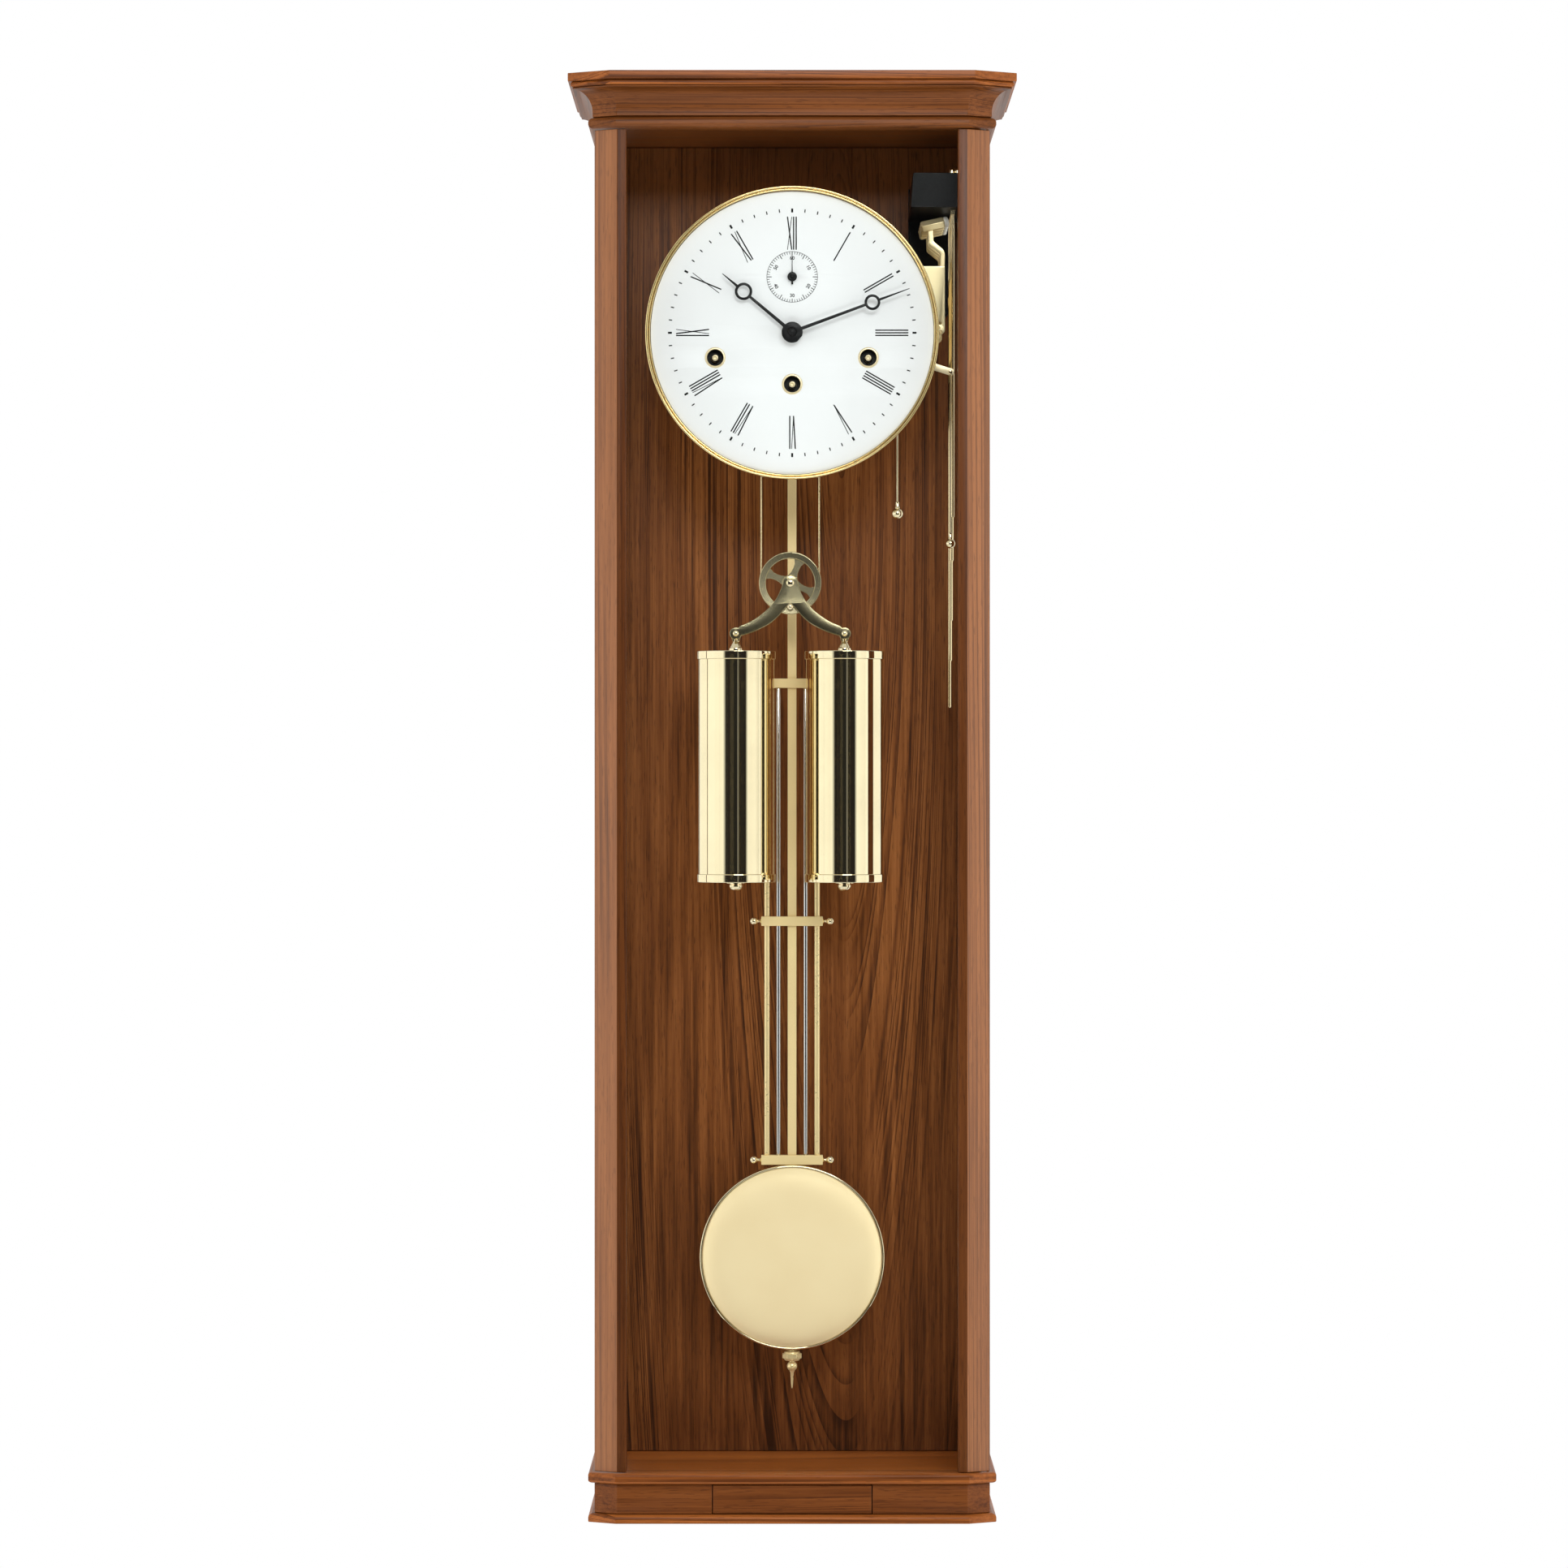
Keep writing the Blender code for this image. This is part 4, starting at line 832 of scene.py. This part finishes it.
def build_dial_print():
    """Hour numerals, minute dashes and the seconds ring."""
    shape = bmesh.new()
    for hour, text in enumerate(HOURS):
        numeral(shape, text, 30 * hour)
    for minute in range(60):
        dash = bar(0.40, 87, 89.4) if minute % 5 else bar(0.72, 86.7, 89.6)
        ink(shape, dial_place(dash, 6 * minute))
    sub = (0, SECONDS_UP)
    for second in range(60):
        low, half = (16.3, 0.20) if second % 5 else (14.8 if second % 10 else 15.7, 0.26)
        ink(shape, dial_place(turned_about(bar(half, low, 18.3), 6 * second, sub)))
    for number in range(10, 70, 10):
        add_digits(shape, str(number), 6 * number)
    track = [(18.1, -INK_THICKNESS), (18.4, -INK_THICKNESS), (18.4, 0.01), (18.1, 0.01)]
    add_turned(shape, track, "Y", SECONDS_SPOT, 96, ring=True, at=DIAL_FRONT)
    new_piece("dial_print", shape, "case", [INK], angle=math.radians(30))


def add_digits(shape, text, angle):
    """A seconds number inside the seconds ring, upright on both halves."""
    font = bpy.data.curves.new("digits", "FONT")
    font.body = text
    font.size = 3.5 * MM
    font.offset = 0.07 * MM
    font.align_x = "CENTER"
    font.align_y = "CENTER"
    font.extrude = INK_THICKNESS / 2 * MM
    font.resolution_u = 3
    mesh = mesh_from("digits", font)
    lower = 90 < angle % 360 < 270
    spin = math.radians(angle + (180 if lower else 0))
    x, h = turned_about([(0, 13.5)], angle, SECONDS_SPOT)[0]
    place = Matrix.Translation((x * MM, (DIAL_FRONT - INK_THICKNESS / 2) * MM, up(h)))
    mesh.transform(place @ Matrix.Rotation(spin, 4, "Y") @ Matrix.Rotation(math.pi / 2, 4, "X"))
    shape.from_mesh(mesh)
    bmesh.ops.remove_doubles(shape, verts=shape.verts, dist=MERGE / 4)
    bpy.data.meshes.remove(mesh)


def bezel_profile():
    """A tall outer roll, a groove and a thin inner bead."""
    (_, outer), (front, rear), _ = extent("dial_bezel")
    outer -= DIAL_X
    inner = DIAL_RADIUS + 0.3
    profile = [(inner, rear), (inner, front + 4.2), (inner + 0.1, front + 2.4)]
    profile += arc((inner + 0.75, front + 1.75), 0.65, 180, 350, 9)
    profile += [(inner + 1.45, front + 2.5), (inner + 1.75, front + 2.5), (inner + 1.82, front + 1.2)]
    profile += arc((outer - 0.92, front + 0.92), 0.92, 178, 360, 12)
    return profile + [(outer, front + 3), (outer, rear - 0.4), (outer - 0.4, rear)]


def build_dial():
    """Enamelled dial with its holes, the bezel, brass bushes and the black wells behind them, which are painted
    shade inside the holes.
    """
    centre = (DIAL_X, DIAL_H)
    holes = [dial_place([at])[0] for at in KEYHOLES]
    loops = [circle(centre, DIAL_RADIUS, 144), circle(centre, 5.2)]
    loops += [circle(spot, 6.4, 40) for spot in holes]
    loops.append(circle(SECONDS_SPOT, 1.8, 20))
    mesh = plate_mesh("dial_face", loops, DIAL_FRONT, DIAL_REAR, 0.12)
    new_piece("dial_face", mesh, "case", [ENAMEL], ("dial_plate",))
    ring = bezel_profile()
    turned_piece("bezel_ring", ring, "Y", centre, "case", GILT, ("dial_bezel",), 160, True)
    bush = [(5.95, 1.6), (5.95, -0.3), (6.2, -0.6), (6.7, -0.62), (7.2, -0.4), (7.5, -0.02), (6.2, -0.02)]
    bush.append((6.2, 1.6))
    # A black cup behind each hole: painted shade for the inside of the hole.
    tube = [(6.1, -0.3), (6.6, 0.1), (6.6, 5.2), (3.2, 5.2), (3.2, 4.6), (6.1, 4.6)]
    bushes, wells = bmesh.new(), bmesh.new()
    for spot in holes:
        add_turned(bushes, bush, "Y", spot, 48, ring=True, at=DIAL_FRONT)
        add_turned(wells, tube, "Y", spot, 32, ring=True, at=DIAL_REAR)
    new_piece("keyhole_bushes", bushes, "case", [SATIN])
    new_piece("keyhole_shade_cups", wells, "case", [BLACK])
    build_winding_ends(holes)
    build_dial_print()


def build_winding_ends(holes):
    """A black collar over each winding arbor's end, painted shade round the arbor in its hole, with the brass
    centre showing through.
    """
    collar = [(2.35, -0.05), (2.35, -0.5), (2.6, -0.75), (3, -0.6), (3.1, -0.05)]
    tip = [(0, -0.2), (0.7, -0.25), (0.9, -0.8), (1.5, -1.1), (2.1, -0.9), (2.3, -0.4), (2.3, -0.05)]
    tip.append((0, -0.05))
    for spot, body in zip(holes, ("chime_arbor", "strike_arbor", "drum_arbor")):
        shape = bmesh.new()
        # The black collar is painted shade round the arbor's brass tip.
        add_turned(shape, collar, "Y", spot, 40, ring=True, at=DIAL_REAR + 0.8)
        add_turned(shape, tip, "Y", spot, 32, index=1, at=DIAL_REAR + 0.8)
        new_piece(f"winding_end_{body}", shape, body, [BLACK, SATIN])


def hand_loops(length, ring_at, ring_out, ring_in, hub, bore, foot, tip, angle):
    """A Breguet-style hand: round hub, tapering blade, an open ring and a needle tip."""
    narrow = foot * 0.8
    ring_start = -90 + math.degrees(narrow / ring_out)
    right = arc((0, 0), hub, -70, 90 - math.degrees(foot / hub), 12)
    right += [(narrow, ring_at - ring_out)]
    right += arc((0, ring_at), ring_out, ring_start, 90 - math.degrees(tip / ring_out), 14)
    right += [(tip * 0.25, length)]
    loops = (mirrored(right), circle((0, ring_at), ring_in), circle((0, 0), bore))
    return [dial_place(loop, angle) for loop in loops]


def build_hands():
    """Hour, minute and seconds hands, and the two turned caps at their centres."""
    for name, node, body, sizes, angle in (
        ("hand_hour", "hour_hand", "hour_pipe", (65.6, 45.7, 6.3, 4.4, 7.6, 4.4, 1.25, 0.95), 310),
        ("hand_minute", "minute_hand", "minute_arbor", (90, 61.5, 5.7, 3.85, 7.2, 1.8, 1.2, 0.9), 69.7),
    ):
        mesh = plate_mesh(name, hand_loops(*sizes, angle), *extent(node)[1], 0.1)
        new_piece(name, mesh, body, [BLACK], (node,))
    front, rear = extent("seconds_hand")[1]
    side = [(0.75, -5.6), (0.6, -3.2), *arc((0, 0), 3.45, -78, 82, 10), (0.35, 3.6), (0.16, 17.9)]
    loops = [dial_place(mirrored(side), 0, (0, SECONDS_UP)), circle(SECONDS_SPOT, 1.5, 20)]
    mesh = plate_mesh("hand_seconds", loops, front, rear, 0.08)
    new_piece("hand_seconds", mesh, "escape_arbor", [BLACK], ("seconds_hand",))
    cap = [(0, -2.2), (1.4, -2.1), (2.6, -1.5), (3.4, -0.6), (3.6, -0.02), (0, -0.02)]
    at = extent("minute_hand")[1][0]
    turned_piece("hand_nut", cap, "Y", (DIAL_X, DIAL_H), "minute_arbor", BLACK, at=at)
    cap = [(0, -0.8), (1, -0.7), (1.7, -0.3), (1.8, -0.02), (0, -0.02)]
    spot = SECONDS_SPOT
    turned_piece("seconds_boss", cap, "Y", spot, "escape_arbor", BLACK, (), 32, at=front)


# ---- weights

WX, WY, WH = middle("pulley")
REACH = 39.5
EYE_H = 637.9
SHELL_HEIGHT = 167.9
SHELL_RADIUS = 27.95
SHELL_CAP = 28.85


def build_pulley():
    """Turned rim with a groove, four flared spokes and a hub."""
    shape = bmesh.new()
    outer = 22.7
    flank = [(17.7, -1.9), (18.1, -2.3), (outer - 0.5, -2.6), (outer, -2.2), (outer, -1.6)]
    groove = arc((outer, 0), 1.6, -95, -265, 8)
    rim = [(max(r, 20.2), y) if abs(y) < 1.5 else (r, y) for r, y in flank + groove]
    rim += [(r, -y) for r, y in reversed(flank)]
    add_turned(shape, rim, "Y", (WX, WH), 96, ring=True, at=WY)
    hub = [(2.45, -2.2), (2.8, -2.5), (5.6, -2.5), (6, -2.1), (6, 2.1), (5.6, 2.5), (2.8, 2.5), (2.45, 2.2)]
    add_turned(shape, hub, "Y", (WX, WH), 64, ring=True, at=WY)
    spoke = mirrored([(3.6, 4.6), (2.5, 7.6), (2.15, 11), (2.5, 14.4), (4.4, 17.9)])
    for angle in (23, 113, 203, 293):
        add_prism(shape, turned_about(spoke, angle, (WX, WH)), "Y", WY - 1.1, WY + 1.1)
    brass = [PULLEY_BRASS]
    piece = new_piece("pulley_wheel_turned", shape, "pulley_wheel", brass, ("pulley",))
    soften(piece, 0.2, 2, 40)


def flowing(points, steps=6):
    """A smooth curve through its points."""
    ends = [points[0]] + list(points) + [points[-1]]
    made = []
    for a, b, c, d in zip(ends, ends[1:], ends[2:], ends[3:]):
        for k in range(steps):
            t = k / steps
            spot = []
            for p, q, r, u in zip(a, b, c, d):
                bend = 2 * p - 5 * q + 4 * r - u + t * (3 * (q - r) + u - p)
                spot.append(q + 0.5 * t * (r - p + t * bend))
            made.append(tuple(spot))
    return made + [points[-1]]


def yoke_loop():
    """The wishbone: a round boss and two legs that sweep out to the eyes over the weights."""
    upper = [(4.9, 1.6), (6.4, -3.4), (9.7, -10.6), (14.7, -17.3), (21.1, -23), (28.3, -27.8), (36.6, -31.4)]
    lower = flowing([(36.2, -38.6), (26.8, -35.6), (16.1, -30.3), (9.7, -25.2), (4.2, -19), (1, -15.6)])
    side = arc((0, 0), 5.3, 90, 24, 8) + flowing(upper)
    side += arc((REACH, EYE_H - WH), 4.5, 116, -130, 16) + lower
    return [(x + WX, h + WH) for x, h in mirrored(side, 1)]


def build_yoke():
    """Two bronze-toned plates held together by the axle, a rivet and the two lower pins."""
    front = plate_mesh("yoke_front", [yoke_loop()], WY - 5.1, WY - 3.3, 0.45)
    new_piece("yoke_plate_front", front, "hanger", [BRONZE], ("weight_yoke",))
    rear = plate_mesh("yoke_rear", [yoke_loop()], WY + 3.3, WY + 5.1, 0.45)
    new_piece("yoke_plate_rear", rear, "hanger", [BRONZE])
    shape = bmesh.new()
    axle = [(0, -6.5), (1.6, -6.3), (2.7, -5.8), (3, -5.15), (2, -5.1), (2, 5.1), (3, 5.15), (2.4, 5.7)]
    axle.append((0, 5.9))
    add_turned(shape, axle, "Y", (WX, WH), 40, at=WY)
    pin = [(0, -6.3), (1.2, -6.1), (2, -5.6), (2.2, -5.15), (1.75, -5.1), (1.75, 5.1), (2.2, 5.15)]
    pin += [(1.4, 5.8), (0, 5.9)]
    for sign in (-1, 1):
        add_turned(shape, pin, "Y", (WX + sign * REACH, EYE_H), 32, at=WY)
    rivet = [(0, -6.4), (1.2, -6.2), (2, -5.6), (2.2, -4.9), (1.6, -4.7), (1.6, -3.2), (0, -3.2)]
    add_turned(shape, rivet, "Y", (WX, WH - 17.4), 28, at=WY)
    new_piece("yoke_pins", shape, "hanger", [POLISHED])


def build_weight(side, sign):
    """A polished shell with capped ends, the nut below and the turned hook above."""
    name = f"weight_{side}"
    body = f"{side}_weight"
    low = heights(name)[0]
    x = WX + sign * REACH
    bottom = low + 6.6
    top = bottom + SHELL_HEIGHT
    lower_cap = [(27.6, bottom), (SHELL_CAP, bottom), (SHELL_CAP, bottom + 5.9), (SHELL_RADIUS, bottom + 6.1)]
    upper_cap = [(SHELL_RADIUS, top - 6.1), (SHELL_CAP, top - 5.9), (SHELL_CAP, top), (27.6, top)]
    profile = [(0, bottom + 0.2), (9, bottom + 0.2), (27.6, bottom)]
    profile += rounded(lower_cap, 0.55, 4)[1:] + rounded(upper_cap, 0.55, 4)
    profile += [(9, top - 0.2), (0, top - 0.2)]
    turned_piece(f"{name}_shell", profile, "Z", (x, WY), body, POLISHED, (name,), 128)
    shape = bmesh.new()
    nut = [(0, 0), (1.6, 0.15), (3.1, 0.8), (4.3, 2), (4.8, 3.4), (4.8, 4.6), (4.3, 5), (4.3, 5.6), (7, 5.8)]
    add_turned(shape, nut + [(7, 6.55), (0, 6.55)], "Z", (x, WY), 40, at=low)
    hook = [(0, -0.1), (5, -0.1), (5.2, 0.7), (4.9, 2.2), (4.3, 2.8), (4.1, 3.4), (2.6, 6), (1.7, 7.6)]
    add_turned(shape, hook + [(1.7, 8.8), (0, 9)], "Z", (x, WY), 40, at=top)
    new_piece(f"{name}_finials", shape, body, [POLISHED])
    tongue = [(-2, top + 6.5), (2, top + 6.5), *arc((0, EYE_H), 4.1, -25, 205, 18)]
    loops = [[(x + a, h) for a, h in tongue], circle((x, EYE_H), 2.25, 24)]
    eye = plate_mesh(f"{name}_eye", loops, WY - 1.2, WY + 1.2, 0.25)
    new_piece(f"{name}_eye", eye, body, [POLISHED])


def build_cable():
    """The cable: down from its upper end, round under the pulley and up to its fixed end."""
    (low, high), _, (_, top) = extent("weight_cable")
    left, right = low + 0.6, high - 0.6
    fixed = top - 17.4
    path = [(left, WY, top - (top - WH) * k / 24) for k in range(24)]
    path += [(a, WY, h) for a, h in arc((WX, WH), (right - left) / 2, 180, 360, 32)]
    path += [(right, WY, WH + (fixed - WH) * k / 24) for k in range(1, 25)]
    cable = bpy.data.objects.new("cable_line", tube_mesh("cable_line", path, 0.6))
    bpy.context.scene.collection.objects.link(cable)
    cable.data.materials.append(STRANDS)
    cable.data.shade_smooth()
    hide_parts("weight_cable")
    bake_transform(cable)


# ---- pendulum

PENDULUM_Y = middle("pendulum_bar")[1]
BOB_H = middle("pendulum_bob")[2]
BOB_RADIUS = 67.9
DISC_RADIUS = 65.9
CROSSBARS = (602.7, 427.7, 252.1)


def build_pendulum():
    """Centre bar and needle tip, then all that hangs on them."""
    y = PENDULUM_Y
    low, high = heights("pendulum_bar")
    shape = bmesh.new()
    add_box(shape, (-3.2, 3.2), (y - 1.2, y + 1.2), (low + 27.8, high))
    soften(new_piece("centre_bar", shape, "pendulum", [BAR_BRASS], ("pendulum_bar",)), 0.25)
    tail = [(0, 0), (0.35, 0.1), (0.75, 3), (1.3, 11.6), (1.9, 12.6), (2.1, 13.4)]
    tail += arc((0, 16.2), 3.75, -55, 50, 10) + [(2, 19.4), (1.95, 28), (0, 28)]
    turned_piece("pendulum_tip", tail, "Z", (0, y), "pendulum", TURNED, at=low)
    build_rating_nut(y)
    build_gridiron(y)
    build_bob(y)


def build_rating_nut(y):
    """A hexagon between two turned collars."""
    low, high = heights("rating_nut")
    shape = bmesh.new()
    hexagon = [(7.1 * math.cos(a), y + 7.1 * math.sin(a)) for a in (math.pi * k / 3 for k in range(6))]
    add_prism(shape, hexagon, "Z", low + 1.6, high - 1.6)
    for start, way in ((low, 1), (high, -1)):
        collar = [(2.45, 0), (4.9, 0), (5.7, way * 0.8), (5.9, way * 1.62), (2.45, way * 1.62)]
        add_turned(shape, collar, "Z", (0, y), 40, ring=True, at=start)
    piece = new_piece("rating_nut_hex", shape, "regulator", [TURNED], ("rating_nut",))
    soften(piece, 0.3, 2, 30)


def build_gridiron(y):
    """Three cross bars with ball ends, and the brass and steel rods between them."""
    bars, balls = bmesh.new(), bmesh.new()
    neck = [(0, 21.8), (1.6, 21.8), (1.9, 22.65), (2, 23.2), (1.2, 23.7), (1.05, 24.6), (1.5, 25.4)]
    ball = [(r, t) for t, r in arc((28.1, 0), 3, 150, 4, 12)]
    for height in CROSSBARS:
        for near in (y - 4, y + 1.6):
            add_box(bars, (-22.6, 22.6), (near, near + 2.4), (height - 3.45, height + 3.45))
        for sign in (-1, 1):
            profile = [(r, sign * t) for r, t in neck + ball + [(0, 31.1)]]
            add_turned(balls, profile, "X", (y, height), 32)
    piece = new_piece("cross_bars", bars, "pendulum", [CROSS_BRASS], ("gridiron_frame",))
    soften(piece, 0.35, 3)
    new_piece("ball_ends", balls, "pendulum", [POLISHED])
    bottom, top = CROSSBARS[2] - 3, CROSSBARS[0] + 3
    for name, nodes, offset, radius, surface, slot in (
        ("brass_rods", (), 18.4, 2, TURNED, "polished_brass"),
        ("steel_rods", ("gridiron_steel_left", "gridiron_steel_right"), 10, 1.68, NICKEL, "steel"),
    ):
        shape = bmesh.new()
        rod = rounded([(0, bottom), (radius, bottom), (radius, top), (0, top)], 0.3, 2)
        for sign in (-1, 1):
            add_turned(shape, rod, "Z", (sign * offset, y), 32)
        new_piece(name, shape, "pendulum", [surface], nodes)


def build_bob(y):
    """A slightly domed disc, spun satin, inside a thin bright rim."""
    face = []
    for k in range(23):
        share = k / 22
        face.append((DISC_RADIUS * share, -12 + 5.6 * share ** 12))
    edge = DISC_RADIUS + 0.05
    disc = face + [(edge, -6.1), (edge, 6.1)] + [(r, -t) for r, t in reversed(face)]
    spun = spun_metal("brass_spun", (0, 0, -up(BOB_H)))
    bob = ("pendulum_bob",)
    turned_piece("bob_disc", disc, "Y", (0, BOB_H), "pendulum", spun, bob, 160, at=y)
    rim = [(66.3, -6.9)] + arc((66.9, -6.3), 0.95, -120, 10, 6)
    rim += [(BOB_RADIUS, -4.8), (BOB_RADIUS, 5.6), (67.2, 6.4), (66.2, 6.4)]
    turned_piece("bob_rim", rim, "Y", (0, BOB_H), "pendulum", POLISHED, (), 160, True, y)


# ---- gong, hammers and pulls

GONG_ROWS = (-118, -100, -82, -64, -46)
GONG_ENDS = (722, 691, 648, 619, 585)
GONG_X = middle("gong_rods")[0]
PIVOT = (106, 859)


def build_gong():
    """The casting on the back panel, its screws, and the row of chime rods."""
    (x0, x1), (y0, y1), (_, top) = extent("gong_block")
    shape = bmesh.new()
    beam = rounded([(x0, top - 25), (x1, top - 25), (x1, top), (x0 + 1.6, top)], 1.2, 3, True)
    add_prism(shape, beam, "Y", y0, y1 - 4)
    foot = arc((x0 + 16.8, 887.2), 16.2, 192, 348, 18)
    flange = [(x0 + 0.6, top - 0.4), (x0 + 0.6, 884), *foot, (119, top - 0.4)]
    add_prism(shape, flange, "Y", y1 - 8, y1)
    soften(new_piece("gong_casting", shape, "case", [CASTING], ("gong_block",)), 0.8, 3, 30)
    shape = bmesh.new()
    small = [(0, 3.6), (1, 3.5), (1.7, 2.9), (1.9, 2), (1.9, -0.5), (0, -0.5)]
    for x in (x1 - 9.2, x1 - 5.2):
        add_turned(shape, small, "Z", (x, y0 + 8), 28, at=top)
    large = [(0, -10.4), (1.6, -10.2), (2.9, -9.2), (3.2, -8), (0, -7.9)]
    for x in (x0 + 8, x1 - 14):
        add_turned(shape, large, "Y", (x, 900), 28, at=y1)
    new_piece("gong_screws", shape, "case", [POLISHED])
    shape = bmesh.new()
    rail = top - 25.3
    add_box(shape, (GONG_X - 1.6, GONG_X + 1.6), (-123, -41), (rail - 4, rail))
    for row, end in zip(GONG_ROWS, GONG_ENDS):
        rod = [(0, end), (0.9, end + 0.1), (1.2, end + 0.5), (1.2, rail - 14), (0.9, rail - 5)]
        add_turned(shape, rod + [(0.9, rail - 3), (0, rail - 3)], "Z", (GONG_X, row), 28)
    new_piece("chime_rods", shape, "case", [ROD_BRONZE], ("gong_rods",))


def build_hammers():
    """Four hammers: a bent strap from the spindle and a hexagonal head with a pale nylon tip."""
    px, ph = PIVOT
    strap = [(px + 2.4, ph + 2), (px + 4.4, 880), (px + 4.9, 913.6), (px + 3.6, 916.6), (px - 3.4, 922.4)]
    strap += [(px - 3.8, 933), (px - 7.4, 933), (px - 7, 920.2), (px + 1.2, 913.6), (px + 1.6, 911.6)]
    strap += [(px + 1.4, 881), (px - 1.6, ph + 2)]
    head = [(0, -10.4), (3.2, -10.4), (4.1, -9.7), (4.4, -9), (4.4, 6.2), (3.9, 6.8), (0, 6.8)]
    tip = [(0, 6.85), (3.6, 6.85), (4, 7.4), (3.9, 8.8), (3, 9.8), (1.5, 10.3), (0, 10.35)]
    collar = [(1.75, -2.8), (2.9, -2.8), (3.2, -2.4), (3.2, 2.4), (2.9, 2.8), (1.75, 2.8)]
    tilt = Matrix.Rotation(math.radians(-12), 4, "Y") @ Matrix.Translation((0, 0, -up(0)))
    for number, row in enumerate(GONG_ROWS[:4], 1):
        body = f"hammer_arm_{number}"
        arm = plate_mesh(f"{body}_strap", [rounded(strap, 1.2, 3, True)], row - 0.9, row + 0.9, 0.2)
        new_piece(f"hammer_{number}_strap", arm, body, [HAMMER_BRASS], (f"hammer_{number}",))
        shape = bmesh.new()
        add_turned(shape, head, "X", (0, 0), 6)
        add_turned(shape, tip, "X", (0, 0), 24, index=1)
        place = Matrix.Translation((103.6 * MM, row * MM, up(934.8))) @ tilt
        bmesh.ops.transform(shape, matrix=place, verts=shape.verts)
        add_turned(shape, collar, "Y", PIVOT, 32, ring=True, at=row)
        piece = new_piece(f"hammer_{number}_head", shape, body, [HAMMER_BRASS, NYLON])
        soften(piece, 0.25, 2, 35)


def build_bracket():
    """Hammer bracket: two cheeks, the web between them, its spindle and its screw."""
    cheek = [(84, 826), (100, 826), (100, 850), (104, 853.6), (108, 853.6), (110.5, 856)]
    loops = [rounded(cheek + [(110.5, 903.3), (84, 903.3)], 1, 3, True), circle((106.9, 862), 1.1, 16)]
    for name, front, replaced in (("bracket_front", -130, ("hammer_bracket",)), ("bracket_rear", -54, ())):
        mesh = plate_mesh(name, loops, front, front + 2, 0.15)
        new_piece(name, mesh, "case", [BRACKET_BRASS], replaced)
    shape = bmesh.new()
    add_box(shape, (84, 86), (-128, -54), (840, 900))
    add_box(shape, (84, 100), (-52, -26.7), (884, 890))
    add_turned(shape, [(0, -130.6), (1.3, -130.6), (1.3, -51.4), (0, -51.4)], "Y", PIVOT, 24)
    screw = [(0, -131.5), (1, -131.3), (1.5, -130.6), (1.6, -130.05), (0, -130.05)]
    add_turned(shape, screw, "Y", (107.4, 855.4), 28)
    soften(new_piece("bracket_web", shape, "case", [BAR_BRASS]), 0.3)


def build_pulls():
    """The silence lever, and the two pull wires with their turned ends."""
    x, h = 96, 837.1
    y = middle("silence_lever")[1] + 1.2
    strap = [(x - 3.6, h - 2.2), (x + 0.6, h - 3.4), (x + 7, h - 8.8)]
    strap += arc((114.9, 827.2), 2.6, 250, 432, 14) + [(x + 9, h - 4.2), (x + 2.4, h + 2.6), (x - 3.6, h + 3.4)]
    mesh = plate_mesh("lever_strap", [rounded(strap, 0.6, 2, True)], y - 0.8, y + 0.8, 0.2)
    new_piece("lever_strap", mesh, "lever", [SATIN], ("silence_lever",))
    pin = [(0, -3.3), (1, -3.2), (1.4, -2.8), (1.4, -0.85), (0, -0.85)]
    turned_piece("lever_pin", pin, "Y", (114.6, 827), "lever", POLISHED, (), 24, at=y)
    for node, body, radius in (("silence_pull", "silence_wire", 3.5), ("strike_pull", "strike_wire", 4.1)):
        x, y, _ = middle(node)
        bottom, top = heights(node)
        centre = bottom + radius
        neck = centre + radius * 0.9
        profile = []
        for k in range(14):
            a = math.pi * k / 16
            profile.append((radius * math.sin(a), centre - radius * math.cos(a)))
        profile += [(1.5, neck), (1.7, neck + 0.8), (1.3, neck + 1.6), (1.25, neck + 4.6), (0.6, neck + 5.2)]
        profile += [(0.6, top), (0, top)]
        turned_piece(f"{node}_turned", profile, "Z", (x, y), body, POLISHED, (node,), 32)


# ---- nodes that keep their CAD shape

def restyle_frame():
    plate = metal("brass_plates", (0.86, 0.69, 0.37), 0.24, 0.06, 500, (0.05, 1, 1))
    wheel = metal("brass_wheels", (0.92, 0.76, 0.44), 0.38, 0.06, 900)
    tool_steel = metal("bright_steel", (0.60, 0.60, 0.61), 0.28, 0.07, 700, (1, 1, 0.1))
    zinc = metal("zinc_plate", (0.40, 0.41, 0.42), 0.45, 0.08, 260)
    for surface, nodes in (
        (plate, "front_plate back_plate"),
        (wheel, "centre_wheel third_wheel escape_wheel great_wheel minute_wheel hour_wheel"),
        (wheel, "cable_drum strike_barrel chime_barrel"),
        (tool_steel, "pallet_anchor suspension_spring hinge_pin_bottom hinge_pin_top winding_crank"),
        (zinc, "hanging_plate"),
        (CASTING, "movement_seat"),
        (walnut("walnut_tray", "X", "floor", 16.4), "drawer_tray"),
    ):
        for node in nodes.split():
            restyle(node, surface)


make_camera()
make_world()
make_stage()
light_the_scene()
build_mouldings()
build_plinth()
build_panel()
build_side("left", -1)
build_side("right", 1)
build_door()
build_dial()
build_hands()
build_pulley()
build_yoke()
build_weight("left", -1)
build_weight("right", 1)
build_cable()
build_pendulum()
build_gong()
build_hammers()
build_bracket()
build_pulls()
restyle_frame()
